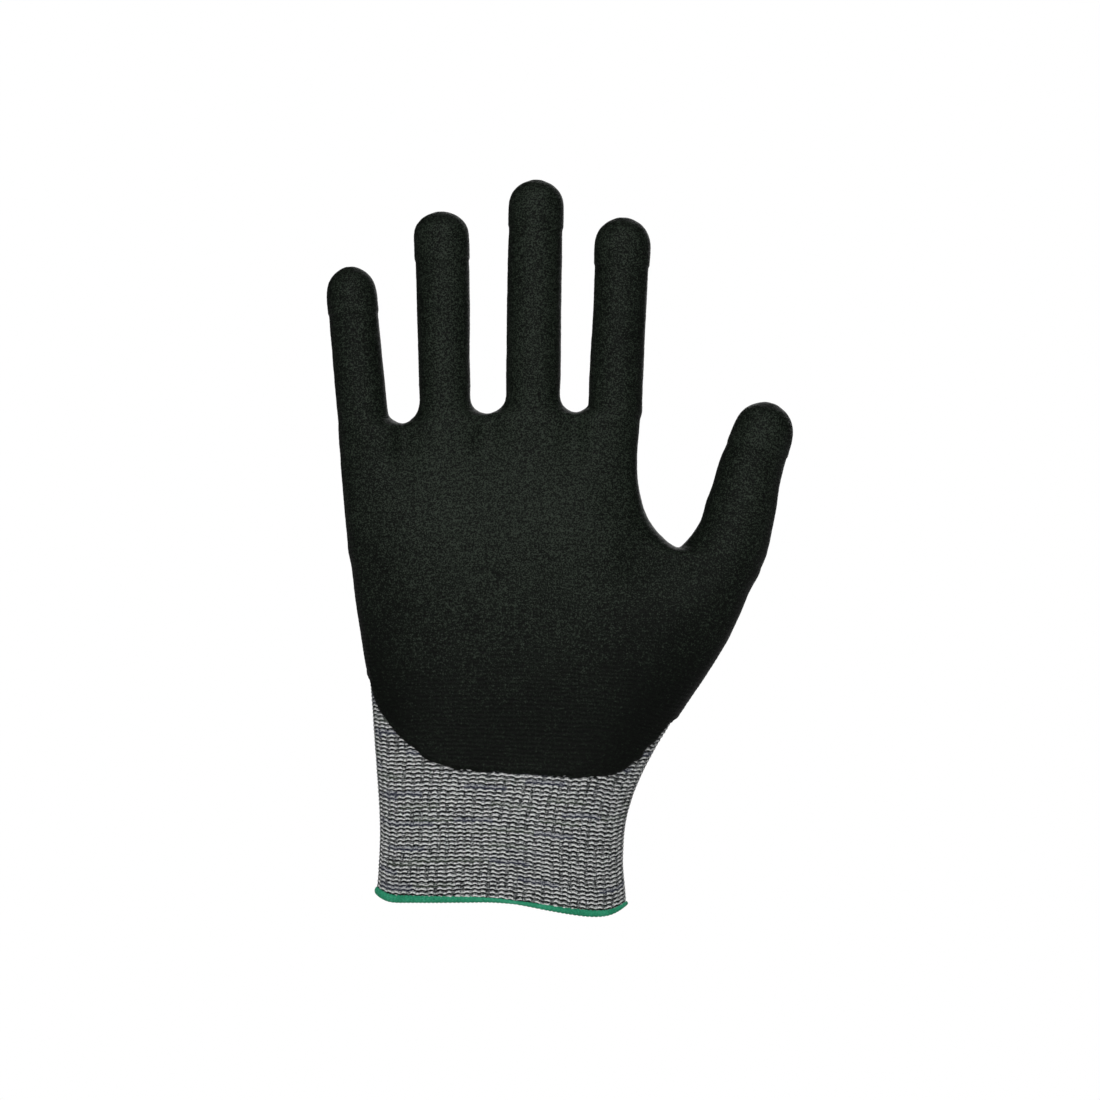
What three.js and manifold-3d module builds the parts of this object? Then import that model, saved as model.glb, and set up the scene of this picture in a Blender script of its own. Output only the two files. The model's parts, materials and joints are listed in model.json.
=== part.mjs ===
// Cut resistant glove, right hand, size 9: a seamless knitted liner, a dipped palm coating,
// an elasticated knit cuff and an overlocked hem.
//
// Millimetres. +Z runs along the fingers, the palm faces -Y and the thumb is on +X.
// The origin is the centre of the cuff opening, level with the lowest point of the hem.
//
// The whole glove is first drawn as one skin of quads. The liner and the coating are two thick
// layers of that skin, and each layer is then cut into the segments that bend against each other.

import * as THREE from 'three';
import { mergeVertices } from 'three/addons/utils/BufferGeometryUtils.js';
import Module from 'manifold-3d';

const wasm = await Module();
wasm.setup();

// ---------------------------------------------------------------------------------------------
// Driving dimensions
// ---------------------------------------------------------------------------------------------

const LINER_THICKNESS = 1.2;
const COATING_THICKNESS = 0.7;
const LAYER_GAP = 0.3;          // air between liner and coating, so that the two never touch
const HINGE_GAP = 0.6;          // air between two segments at a fold

const FRONT_COLUMNS = 3;        // columns of quads across the front of one finger
const FRONT_SPREAD = 67.5;      // degrees from the middle of a finger's front to its side column
const FIRST_RINGS = [2.2, 6];   // height of a digit's first rings of points above its root
const RING_SPACING = 10;        // about this far apart further up
const DOME_SHARE = 0.52;        // height of a digit's rounded tip, as a share of the digit's width
const DOME_DEGREES = [34, 62];  // rings of the rounded tip, as angles above its rim
const TIP_SCALE = 0.16;         // size of the last ring, which a strip of quads closes
const UPPER_ROWS = 4;           // rows of quads between the finger roots and the thumb crotch
const LOWER_ROWS = 10;          // rows of quads between the thumb crotch and the hem

// Side edges of the hand as [z, x], from the finger roots down to the hem.
const LITTLE_SIDE = [[164, -54.8], [140, -52.3], [120, -50.3], [100, -47.7], [80, -44.5],
  [60, -42.3], [40, -40.8], [20, -40.8], [0, -42.4]];
const INDEX_SIDE = [[166, 46.0], [150, 44.9], [140, 45.8], [131, 49.2], [126, 53.6], [121.7, 60.4]];
const THUMB_SIDE = [[118, 87.4], [110, 84.3], [100, 79.7], [90, 74.7], [80, 68.0], [70, 60.7],
  [60, 53.7], [50, 48.0], [40, 43.4], [28, 41.2], [15, 40.7], [0, 42.3]];

// Half the thickness of the hand, front to back, as [z, half thickness].
const HALF_DEPTH = [[167, 8.2], [155, 10.5], [140, 13.0], [122, 15.0], [80, 15.0],
  [60, 14.4], [40, 13.6], [20, 13.4], [0, 14.2]];
const MOST_HALF_DEPTH = 15.0;   // the palm and the back of the hand are flat where they reach it
const FLAT_SHARE = 0.4;         // share of the half width over which the hand is flat
const SIDE_SHARE = 0.97;        // where the side columns start, as a share of the half width

// Each finger: centre line from root to tip, widths, and thickness front to back.
const FINGERS = [
  { name: 'little', root: [-45.4, 162.0], tip: [-50.2, 215.0], width: 15.6, depth: 13.8 },
  { name: 'ring', root: [-18.4, 164.5], tip: [-20.0, 233.0], width: 16.2, depth: 14.4 },
  { name: 'middle', root: [10.4, 166.2], tip: [11.9, 244.0], width: 16.2, depth: 14.8 },
  { name: 'index', root: [38.0, 165.5], tip: [40.7, 231.0], width: 16.0, depth: 14.6 },
];
const CROTCHES = [[-32.3, 162.7], [-4.3, 166.3], [24.7, 166.3]];
const OUTER_ROOTS = [[-53.9, 161.0], [46.0, 163.5]];   // outer sides of little and index finger
const CROTCH_HALF_DEPTH = 3.6;
const CROTCH_RADIUS = 5.2;
const ROOT_SHAPE_SHARE = 0.7;   // share of the upper hand over which the shape of the roots fades out

const THUMB = {
  name: 'thumb', root: [73.2, 118.4], tip: [87.2, 169.7],
  rootWidth: 26.0, width: 19.8, depth: 17.0, rootDepth: 21.0, bow: 1.6,
};
const THUMB_CROTCH = [60.4, 121.7];
const THUMB_TAPER = 22;         // the thumb narrows over this length above its root
const THUMB_TAPER_POWER = 1.5;

// Hem: the knit edge drops towards the thumb side.
const HEM_DROP = 5.0;
const HEM_DROP_FROM = -7;       // x where the drop begins
const HEM_DROP_TO = 36;         // x where it ends
const HEM_GAP = 0.6;            // room for the cuff to flare inside the hem
const HEM_WALL = 0.6;
const HEM_HEIGHT = 3.0;
const HEM_BELOW = LAYER_GAP + HEM_WALL;

// Covered elastic laid into the cuff.
const ELASTIC_TURNS = 6;
const ELASTIC_BOTTOM = 9.0;
const ELASTIC_PITCH = 2.8;
const ELASTIC_WIDTH = 0.9;
const ELASTIC_DEPTH = 0.5;
const ELASTIC_STRIDE = 3;       // columns of the cuff per straight length of elastic

// Folds. "at" is the distance of a finger fold above the finger's root.
const WRIST_HEIGHT = 36;
const WRIST_BEND = 60;
const WRIST_EXTEND = 50;
const KNUCKLE_HEIGHT = 146;
const KNUCKLE_BEND = 45;
const KNUCKLE_EXTEND = 15;
const KNUCKLE_REACH = 58;       // x that the knuckle fold stays short of, clear of the thumb
const FINGER_BENDS = { base: 50, middle: 85, tip: 45 };
const FINGER_FOLDS = {
  little: { base: 7.5, middle: 22, tip: 37 },
  ring: { base: 7.5, middle: 27, tip: 48 },
  middle: { base: 7.5, middle: 29, tip: 53 },
  index: { base: 7.5, middle: 26, tip: 45 },
};
const THUMB_SWING = 60;
const THUMB_SWING_BACK = 10;
const THUMB_FOLD_LEAN = 30;     // degrees between the thumb's swing axis and +Z
const THUMB_FOLD_INSET = 6.0;   // distance of that axis beyond the thumb crotch
const THUMB_FOLD_REACH = 36;    // length of that axis above the thumb crotch, short of the index finger
const THUMB_TIP_BEND = 70;
const THUMB_TIP_FOLD = 27;      // distance above the thumb's root
const FOLD_MARGIN = 3.5;        // how far a digit's fold reaches past the digit's sides

// Coating: lower border across the heel of the hand as [x, z], then how far it wraps.
const COATING_BORDER = [[-46, 84], [-41, 69], [-30, 56], [-17, 49.6], [8, 47.4], [32, 46.2],
  [43, 50], [56, 63.5], [70, 84]];
const BORDER_SEGMENTS = 3;      // straight lengths of border between two of those points
const COATING_WRAP = 2.0;       // how far behind the middle plane the coating reaches
const TIP_DIP = 15;             // length of fingertip that is coated all the way round

// Colours and surfaces.
const knitMaterial = new THREE.MeshStandardMaterial({ color: 0x8c9192, roughness: 0.9, metalness: 0 });
const coatingMaterial = new THREE.MeshStandardMaterial({ color: 0x1b1f1c, roughness: 0.8, metalness: 0 });
const hemMaterial = new THREE.MeshStandardMaterial({ color: 0x169060, roughness: 0.75, metalness: 0 });
const elasticMaterial = new THREE.MeshStandardMaterial({ color: 0xd8dad6, roughness: 0.7, metalness: 0 });

// ---------------------------------------------------------------------------------------------
// Small helpers
// ---------------------------------------------------------------------------------------------

const radians = THREE.MathUtils.degToRad;
const mix = THREE.MathUtils.lerp;
const FAR = 260;                // longer than the whole glove
const REACH = 30;               // deeper than half the glove
const OFFSET_PASSES = 40;       // enough for the skin's offsets to settle

/** A smooth curve through [position, value] pairs, read at any position between them. */
function through(pairs) {
  const sorted = [...pairs].sort((a, b) => a[0] - b[0]);
  const last = sorted.length - 1;
  const slope = (i) => {
    const low = Math.max(0, i - 1);
    const high = Math.min(last, i + 1);
    return (sorted[high][1] - sorted[low][1]) / (sorted[high][0] - sorted[low][0]);
  };
  return (position) => {
    const p = THREE.MathUtils.clamp(position, sorted[0][0], sorted[last][0]);
    let i = 0;
    while (i < last - 1 && p > sorted[i + 1][0]) i += 1;
    const span = sorted[i + 1][0] - sorted[i][0];
    const t = (p - sorted[i][0]) / span;
    const start = 2 * t ** 3 - 3 * t ** 2 + 1;
    const end = 1 - start;
    const startSlope = (t ** 3 - 2 * t ** 2 + t) * span;
    const endSlope = (t ** 3 - t ** 2) * span;
    return start * sorted[i][1] + end * sorted[i + 1][1] + startSlope * slope(i) + endSlope * slope(i + 1);
  };
}

const littleSide = through(LITTLE_SIDE);
const indexSide = through(INDEX_SIDE);
const thumbSide = through(THUMB_SIDE);
const freeHalfDepth = through(HALF_DEPTH);
const halfDepth = (z) => Math.min(MOST_HALF_DEPTH, freeHalfDepth(z));

/** Share of the hand's thickness at u, from 1 in the flat middle to 0 at the sides (u = -1 and 1). */
function depthShare(u) {
  const w = Math.max(0, (Math.abs(u) - FLAT_SHARE) / (1 - FLAT_SHARE));
  return Math.sqrt(Math.max(0, 1 - w * w));
}

/** Height of the liner's lower edge at x. */
function hemHeight(x) {
  return HEM_BELOW + HEM_DROP * (1 - THREE.MathUtils.smoothstep(x, HEM_DROP_FROM, HEM_DROP_TO));
}

// ---------------------------------------------------------------------------------------------
// The skin: one open surface of quads over the whole glove
// ---------------------------------------------------------------------------------------------

const points = [];
const quads = [];

function addPoint(x, y, z) {
  points.push(new THREE.Vector3(x, y, z));
  return points.length - 1;
}

/** Quads between two loops of the same length, "upper" being nearer the fingertips. */
function joinLoops(upper, lower) {
  upper.forEach((corner, i) => {
    const next = (i + 1) % upper.length;
    quads.push([corner, lower[i], lower[next], upper[next]]);
  });
}

/** A loop runs along the front from -X to +X, then along the back from +X to -X. */
const loopOf = (front, back) => [...front, ...[...back].reverse()];

/** Frame of a digit: its axis, the sideways direction across it and its length. */
function digitFrame(digit) {
  const root = new THREE.Vector3(digit.root[0], 0, digit.root[1]);
  const tip = new THREE.Vector3(digit.tip[0], 0, digit.tip[1]);
  const axis = tip.clone().sub(root);
  const length = axis.length();
  axis.normalize();
  const across = new THREE.Vector3(axis.z, 0, -axis.x);
  return { root, axis, across, length };
}

/** Angles, from the middle of the front, of a digit's front points. */
const frontAngles = Array.from({ length: FRONT_COLUMNS + 1 },
  (_, k) => radians(FRONT_SPREAD * (2 * k / FRONT_COLUMNS - 1)));

/** Adds a digit's rings above its root loop and closes its tip. */
function addDigit(digit, rootFront, rootBack, widthAt, depthAt) {
  const { root, axis, across, length } = digitFrame(digit);
  const domeLength = digit.width * DOME_SHARE;
  const straight = length - domeLength;
  const stations = [...FIRST_RINGS];
  const regularFrom = FIRST_RINGS.at(-1);
  const steps = Math.round((straight - regularFrom) / RING_SPACING);
  for (let k = 1; k <= steps; k += 1) stations.push(mix(regularFrom, straight, k / steps));
  const rings = stations.map((s) => ({ s, scale: 1 }));
  for (const degrees of DOME_DEGREES) {
    rings.push({ s: straight + domeLength * Math.sin(radians(degrees)), scale: Math.cos(radians(degrees)) });
  }
  rings.push({ s: length, scale: TIP_SCALE });

  let front = rootFront;
  let back = rootBack;
  for (const { s, scale } of rings) {
    const bow = (digit.bow ?? 0) * Math.sin(Math.PI * s / length);
    const ringPoint = (angle, side) => {
      const sideways = bow + scale * widthAt(s) / 2 * Math.sin(angle) / Math.sin(radians(FRONT_SPREAD));
      const place = root.clone().addScaledVector(axis, s).addScaledVector(across, sideways);
      return addPoint(place.x, side * scale * depthAt(s) / 2 * Math.cos(angle), place.z);
    };
    const nextFront = frontAngles.map((angle) => ringPoint(angle, -1));
    const nextBack = frontAngles.map((angle) => ringPoint(angle, 1));
    joinLoops(loopOf(nextFront, nextBack), loopOf(front, back));
    front = nextFront;
    back = nextBack;
  }
  for (let k = 0; k < FRONT_COLUMNS; k += 1) quads.push([front[k], front[k + 1], back[k + 1], back[k]]);
}

/** Root loop of the four fingers: neighbouring fingers share the two points of their crotch. */
function addFingerRoots() {
  const ends = [OUTER_ROOTS[0], ...CROTCHES, OUTER_ROOTS[1]];
  const edge = ends.map(([x, z]) => [
    addPoint(x, -CROTCH_HALF_DEPTH, z),
    addPoint(x, CROTCH_HALF_DEPTH, z),
  ]);
  return FINGERS.map((finger, f) => {
    const [left, right] = [ends[f], ends[f + 1]];
    const side = (which) => frontAngles.map((angle, k) => {
      if (k === 0) return edge[f][which];
      if (k === FRONT_COLUMNS) return edge[f + 1][which];
      const share = (1 + Math.sin(angle) / Math.sin(radians(FRONT_SPREAD))) / 2;
      const y = (which === 0 ? -1 : 1) * halfDepth(left[1]) * Math.cos(angle);
      return addPoint(mix(left[0], right[0], share), y, mix(left[1], right[1], share));
    });
    return { front: side(0), back: side(1) };
  });
}

/** Place on the hand below the thumb crotch or beside it, between the two side edges at height z. */
function handPoint(share, z, rightSide, side) {
  const left = littleSide(z);
  const u = SIDE_SHARE * (2 * share - 1);
  return [mix(left, rightSide(z), share), side * halfDepth(z) * depthShare(u), z];
}

/** Rows of the hand between the finger roots and the thumb crotch. */
function addUpperHand(rootFront, rootBack) {
  const [crotchX, crotchZ] = THUMB_CROTCH;
  const first = points[rootFront[0]];
  const lastPoint = points[rootFront.at(-1)];
  const shares = rootFront.map((p) => (points[p].x - first.x) / (lastPoint.x - first.x));
  let front = rootFront;
  let back = rootBack;
  for (let row = 1; row <= UPPER_ROWS; row += 1) {
    const t = row / UPPER_ROWS;
    const rootShape = 1 - THREE.MathUtils.smoothstep(t, 0, ROOT_SHAPE_SHARE);
    const place = (top, k, side) => {
      const z = mix(points[top[k]].z, crotchZ, t);
      const [x, handY] = handPoint(shares[k], z, indexSide, side);
      return addPoint(x, mix(handY, points[top[k]].y, rootShape), z);
    };
    const nextFront = rootFront.map((_, k) => place(rootFront, k, -1));
    const nextBack = rootBack.map((_, k) => place(rootBack, k, 1));
    joinLoops(loopOf(front, back), loopOf(nextFront, nextBack));
    front = nextFront;
    back = nextBack;
  }
  points[front.at(-1)].set(crotchX, -CROTCH_HALF_DEPTH, crotchZ);
  points[back.at(-1)].set(crotchX, CROTCH_HALF_DEPTH, crotchZ);
  return { front, back };
}

/** Root loop of the thumb: it starts at the thumb crotch, which it shares with the hand. */
function addThumbRoot(crotchFront, crotchBack) {
  const { root, across } = digitFrame(THUMB);
  const side = (shared, sign) => frontAngles.map((angle, k) => {
    if (k === 0) return shared;
    const sideways = THUMB.rootWidth / 2 * Math.sin(angle) / Math.sin(radians(FRONT_SPREAD));
    const place = root.clone().addScaledVector(across, sideways);
    return addPoint(place.x, sign * THUMB.rootDepth / 2 * Math.cos(angle), place.z);
  });
  return { front: side(crotchFront, -1), back: side(crotchBack, 1) };
}

/** Rows from the thumb crotch down to the hem. Returns the columns, read at any height. */
function addLowerHand(topFront, topBack) {
  const first = points[topFront[0]];
  const lastPoint = points[topFront.at(-1)];
  const shares = topFront.map((p) => (points[p].x - first.x) / (lastPoint.x - first.x));
  const column = (k, z, side) => new THREE.Vector3(...handPoint(shares[k], z, thumbSide, side));
  let front = topFront;
  let back = topBack;
  for (let row = 1; row <= LOWER_ROWS; row += 1) {
    const t = row / LOWER_ROWS;
    const place = (top, k, side) => {
      const hemX = mix(littleSide(0), thumbSide(0), shares[k]);
      const spot = column(k, mix(points[top[k]].z, hemHeight(hemX), t), side);
      return addPoint(spot.x, spot.y, spot.z);
    };
    const nextFront = topFront.map((_, k) => place(topFront, k, -1));
    const nextBack = topBack.map((_, k) => place(topBack, k, 1));
    joinLoops(loopOf(front, back), loopOf(nextFront, nextBack));
    front = nextFront;
    back = nextBack;
  }
  return { front, back, column, columns: shares.length };
}

const roots = addFingerRoots();
const rootFront = roots.flatMap((r, f) => (f === 0 ? r.front : r.front.slice(1)));
const rootBack = roots.flatMap((r, f) => (f === 0 ? r.back : r.back.slice(1)));

FINGERS.forEach((finger, f) => {
  const rootWidth = points[roots[f].front.at(-1)].x - points[roots[f].front[0]].x;
  const flare = (s) => Math.max(0, 1 - s / CROTCH_RADIUS) ** 2;
  addDigit(finger, roots[f].front, roots[f].back,
    (s) => mix(finger.width, rootWidth, flare(s)), () => finger.depth);
});

const crotchRow = addUpperHand(rootFront, rootBack);
const thumbRoot = addThumbRoot(crotchRow.front.at(-1), crotchRow.back.at(-1));
const thumbTaper = (s) => Math.max(0, 1 - s / THUMB_TAPER) ** THUMB_TAPER_POWER;
addDigit(THUMB, thumbRoot.front, thumbRoot.back,
  (s) => mix(THUMB.width, THUMB.rootWidth, thumbTaper(s)),
  (s) => mix(THUMB.depth, THUMB.rootDepth, thumbTaper(s)));

const lower = addLowerHand(
  [...crotchRow.front, ...thumbRoot.front.slice(1)],
  [...crotchRow.back, ...thumbRoot.back.slice(1)],
);
const hemLoop = loopOf(lower.front, lower.back);

/**
 * How far each point moves when the skin moves outwards by 1 mm. Every quad around the point has to
 * move by that 1 mm along its own normal, so at an edge or in a crotch the point moves further.
 */
function skinOffsets() {
  const around = points.map(() => []);
  const atHem = new Set(hemLoop);
  for (const [a, b, c, d] of quads) {
    const face = points[c].clone().sub(points[a]).cross(points[d].clone().sub(points[b]));
    for (const corner of [a, b, c, d]) {
      // The hem moves straight outwards, so that every layer ends level with it.
      around[corner].push(atHem.has(corner) ? face.clone().setZ(0).normalize() : face.clone().normalize());
    }
  }
  return around.map((faces) => {
    const offset = faces.reduce((sum, n) => sum.add(n), new THREE.Vector3()).normalize();
    for (let pass = 0; pass < OFFSET_PASSES; pass += 1) {
      for (const n of faces) offset.addScaledVector(n, (1 - n.dot(offset)) / 2);
    }
    return offset;
  });
}
const offsets = skinOffsets();

// ---------------------------------------------------------------------------------------------
// Solids
// ---------------------------------------------------------------------------------------------

function geometryOf(places, faces) {
  const geometry = new THREE.BufferGeometry();
  geometry.setAttribute('position', new THREE.Float32BufferAttribute(places.flatMap((p) => p.toArray()), 3));
  geometry.setIndex(faces.flat());
  return geometry;
}

function manifoldOf(geometry) {
  const bare = geometry.clone();
  bare.deleteAttribute('normal');
  bare.deleteAttribute('uv');
  const merged = mergeVertices(bare, 1e-4);
  return new wasm.Manifold(new wasm.Mesh({
    numProp: 3,
    vertProperties: new Float32Array(merged.attributes.position.array),
    triVerts: new Uint32Array(merged.index.array),
  }));
}

function meshOf(name, manifold, material) {
  const { vertProperties, triVerts } = manifold.getMesh();
  const geometry = new THREE.BufferGeometry();
  geometry.setAttribute('position', new THREE.BufferAttribute(new Float32Array(vertProperties), 3));
  geometry.setIndex(new THREE.BufferAttribute(new Uint32Array(triVerts), 1));
  geometry.computeVertexNormals();
  const mesh = new THREE.Mesh(geometry, material);
  mesh.name = name;
  return mesh;
}

/** The skin as a solid layer from "inner" to "outer", both measured outwards from the skin. */
function layer(inner, outer) {
  const shifted = (distance) => points.map((p, i) => p.clone().addScaledVector(offsets[i], distance));
  const places = [...shifted(outer), ...shifted(inner)];
  const inside = points.length;
  const faces = [];
  for (const [a, b, c, d] of quads) {
    faces.push([a, b, c], [a, c, d]);
    faces.push([a + inside, c + inside, b + inside], [a + inside, d + inside, c + inside]);
  }
  hemLoop.forEach((corner, i) => {
    const next = hemLoop[(i + 1) % hemLoop.length];
    faces.push([corner, corner + inside, next + inside], [corner, next + inside, next]);
  });
  return manifoldOf(geometryOf(places, faces));
}

/**
 * A fold: a hinge at "centre", with the child segment in the direction "forward".
 * It bends towards the palm (-Y) by "bend" degrees, and towards the back by "extend" degrees.
 * "from" and "to" limit the fold sideways, along forward x Y.
 */
function fold({ centre, forward, bend, extend = 0, from, to }) {
  const palm = Math.tan(radians(bend / 2));
  const back = Math.tan(radians(extend / 2));
  return { centre, forward, palm, back, from, to };
}

/** The space beyond a fold. side +1 starts on the child's side of the gap, -1 on the parent's. */
function beyond(hinge, side) {
  const start = side * HINGE_GAP / 2;
  const outline = new THREE.Shape([
    new THREE.Vector2(start + side * REACH * hinge.palm, -REACH),
    new THREE.Vector2(FAR, -REACH),
    new THREE.Vector2(FAR, REACH),
    new THREE.Vector2(start + side * REACH * hinge.back, REACH),
    new THREE.Vector2(start, 0),
  ]);
  const prism = new THREE.ExtrudeGeometry(outline, { depth: hinge.to - hinge.from, bevelEnabled: false });
  prism.translate(0, 0, hinge.from);
  const up = new THREE.Vector3(0, 1, 0);
  const sideways = hinge.forward.clone().cross(up);
  const frame = new THREE.Matrix4().makeBasis(hinge.forward, up, sideways).setPosition(hinge.centre);
  return manifoldOf(prism.applyMatrix4(frame));
}

// Folds of the hand. Sideways is -X where forward is +Z.
const folds = {
  wrist: fold({
    centre: new THREE.Vector3(0, 0, WRIST_HEIGHT), forward: new THREE.Vector3(0, 0, 1),
    bend: WRIST_BEND, extend: WRIST_EXTEND, from: -FAR, to: FAR,
  }),
  knuckle: fold({
    centre: new THREE.Vector3(0, 0, KNUCKLE_HEIGHT), forward: new THREE.Vector3(0, 0, 1),
    bend: KNUCKLE_BEND, extend: KNUCKLE_EXTEND, from: -KNUCKLE_REACH, to: FAR,
  }),
};

const lean = radians(THUMB_FOLD_LEAN);
const swingForward = new THREE.Vector3(Math.cos(lean), 0, Math.sin(lean));
const thumbCrotch = new THREE.Vector3(THUMB_CROTCH[0], 0, THUMB_CROTCH[1]);
folds.thumb_base = fold({
  centre: thumbCrotch.addScaledVector(swingForward, THUMB_FOLD_INSET), forward: swingForward,
  bend: THUMB_SWING, extend: THUMB_SWING_BACK, from: -FAR, to: THUMB_FOLD_REACH,
});

function digitFold(digit, at, bend) {
  const { root, axis, across, length } = digitFrame(digit);
  const reach = (digit.rootWidth ?? digit.width) / 2 + FOLD_MARGIN;
  const bow = (digit.bow ?? 0) * Math.sin(Math.PI * at / length);
  return fold({
    centre: root.addScaledVector(axis, at).addScaledVector(across, bow),
    forward: axis, bend, from: -reach, to: reach,
  });
}
folds.thumb_tip = digitFold(THUMB, THUMB_TIP_FOLD, THUMB_TIP_BEND);
for (const finger of FINGERS) {
  for (const [part, at] of Object.entries(FINGER_FOLDS[finger.name])) {
    folds[`${finger.name}_${part}`] = digitFold(finger, at, FINGER_BENDS[part]);
  }
}

/** Segments: the fold each starts at, and the folds at which its children leave it. */
const segments = [
  { name: 'palm', start: 'wrist', ends: ['knuckle', 'thumb_base'] },
  { name: 'knuckle', start: 'knuckle', ends: FINGERS.map((finger) => `${finger.name}_base`) },
  { name: 'thumb_base', start: 'thumb_base', ends: ['thumb_tip'] },
  { name: 'thumb_tip', start: 'thumb_tip', ends: [] },
];
for (const { name } of FINGERS) {
  segments.push(
    { name: `${name}_base`, start: `${name}_base`, ends: [`${name}_middle`] },
    { name: `${name}_middle`, start: `${name}_middle`, ends: [`${name}_tip`] },
    { name: `${name}_tip`, start: `${name}_tip`, ends: [] },
  );
}

function segmentOf(solid, { start, ends }) {
  const kept = solid.intersect(beyond(folds[start], 1));
  return ends.reduce((rest, end) => rest.subtract(beyond(folds[end], -1)), kept);
}

/** Space that the coating fills: the palm side above its border, and every fingertip. */
function coatingSpace() {
  const border = new THREE.Shape();
  border.moveTo(-FAR, COATING_BORDER[0][1]);
  border.lineTo(...COATING_BORDER[0]);
  border.splineThru(COATING_BORDER.slice(1).map(([x, z]) => new THREE.Vector2(x, z)));
  border.lineTo(FAR, COATING_BORDER.at(-1)[1]);
  border.lineTo(FAR, FAR);
  border.lineTo(-FAR, FAR);
  border.closePath();
  const front = new THREE.ExtrudeGeometry(border, {
    depth: 2 * REACH, bevelEnabled: false, curveSegments: BORDER_SEGMENTS,
  });
  front.rotateX(Math.PI / 2);                    // the outline's height becomes +Z, its depth -Y
  front.translate(0, COATING_WRAP, 0);
  let space = manifoldOf(front);
  for (const digit of [...FINGERS, THUMB]) {
    const { length } = digitFrame(digit);
    space = space.add(beyond(digitFold(digit, length - TIP_DIP, 0), 1));
  }
  return space;
}

/** A closed ring of solid: each column carries the same outline of [outwards, up] points. */
function ringSolid(columns, outline) {
  const places = columns.flatMap(({ place, outwards }) => outline.map(([r, z]) => (
    place.clone().addScaledVector(outwards, r).add(new THREE.Vector3(0, 0, z)))));
  const count = outline.length;
  const faces = [];
  columns.forEach((_, i) => {
    const j = (i + 1) % columns.length;
    for (let k = 0; k < count; k += 1) {
      const m = (k + 1) % count;
      const [a, b, c, d] = [i * count + k, j * count + k, j * count + m, i * count + m];
      faces.push([a, b, c], [a, c, d]);
    }
  });
  return manifoldOf(geometryOf(places, faces));
}

/** Overlocked hem: a channel that wraps the liner's lower edge, inside and out. */
function hemSolid() {
  const columns = hemLoop.map((corner) => ({ place: points[corner], outwards: offsets[corner] }));
  const outerFace = HEM_GAP + HEM_WALL;
  const innerGap = -LINER_THICKNESS - HEM_GAP;
  return ringSolid(columns, [
    [outerFace, -HEM_BELOW], [outerFace, HEM_HEIGHT], [HEM_GAP, HEM_HEIGHT], [HEM_GAP, -LAYER_GAP],
    [innerGap, -LAYER_GAP], [innerGap, HEM_HEIGHT], [innerGap - HEM_WALL, HEM_HEIGHT],
    [innerGap - HEM_WALL, -HEM_BELOW],
  ]);
}

/** Covered elastic: one yarn that winds up the inside of the cuff. */
function elasticSolid() {
  const around = [];
  for (let k = 0; k < lower.columns; k += 1) around.push([k, -1]);
  for (let k = lower.columns - 1; k >= 0; k -= 1) around.push([k, 1]);
  const steps = Math.floor(ELASTIC_TURNS * around.length / ELASTIC_STRIDE);
  const depth = LINER_THICKNESS + LAYER_GAP;
  const sections = [];
  for (let step = 0; step <= steps; step += 1) {
    const index = step * ELASTIC_STRIDE;
    const z = ELASTIC_BOTTOM + ELASTIC_PITCH * index / around.length;
    const [k, side] = around[index % around.length];
    const [before, beforeSide] = around[(index + around.length - 1) % around.length];
    const [after, afterSide] = around[(index + 1) % around.length];
    const along = lower.column(after, z, afterSide).sub(lower.column(before, z, beforeSide));
    along.setZ(0).normalize();
    const outwards = new THREE.Vector3(along.y, 0, 0).setY(-along.x);
    const place = lower.column(k, z, side);
    sections.push([[-depth, 0], [-depth, ELASTIC_WIDTH], [-depth - ELASTIC_DEPTH, ELASTIC_WIDTH],
      [-depth - ELASTIC_DEPTH, 0]].map(([r, up]) => (
      place.clone().addScaledVector(outwards, r).add(new THREE.Vector3(0, 0, up)))));
  }
  const faces = [];
  for (let s = 0; s < sections.length - 1; s += 1) {
    for (let k = 0; k < 4; k += 1) {
      const m = (k + 1) % 4;
      const [a, b, c, d] = [s * 4 + k, s * 4 + 4 + k, s * 4 + 4 + m, s * 4 + m];
      faces.push([a, b, c], [a, c, d]);
    }
  }
  const end = (sections.length - 1) * 4;
  faces.push([0, 1, 2], [0, 2, 3], [end, end + 2, end + 1], [end, end + 3, end + 2]);
  return manifoldOf(geometryOf(sections.flat(), faces));
}

// ---------------------------------------------------------------------------------------------
// Assembly
// ---------------------------------------------------------------------------------------------

const liner = layer(-LINER_THICKNESS, 0);
const coating = layer(LAYER_GAP, LAYER_GAP + COATING_THICKNESS).intersect(coatingSpace());

const group = new THREE.Group();
group.add(meshOf('knit_cuff', liner.subtract(beyond(folds.wrist, -1)), knitMaterial));
group.add(meshOf('cuff_elastic', elasticSolid(), elasticMaterial));
group.add(meshOf('overlock_hem', hemSolid(), hemMaterial));
for (const segment of segments) {
  group.add(meshOf(`${segment.name}_liner`, segmentOf(liner, segment), knitMaterial));
  group.add(meshOf(`${segment.name}_coating`, segmentOf(coating, segment), coatingMaterial));
}

export default group;
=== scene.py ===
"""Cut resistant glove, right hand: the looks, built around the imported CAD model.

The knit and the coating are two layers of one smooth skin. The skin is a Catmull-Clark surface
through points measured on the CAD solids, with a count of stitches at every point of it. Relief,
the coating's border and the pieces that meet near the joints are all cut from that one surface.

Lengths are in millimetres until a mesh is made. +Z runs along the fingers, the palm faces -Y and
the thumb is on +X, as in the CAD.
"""

import json
import math

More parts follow.
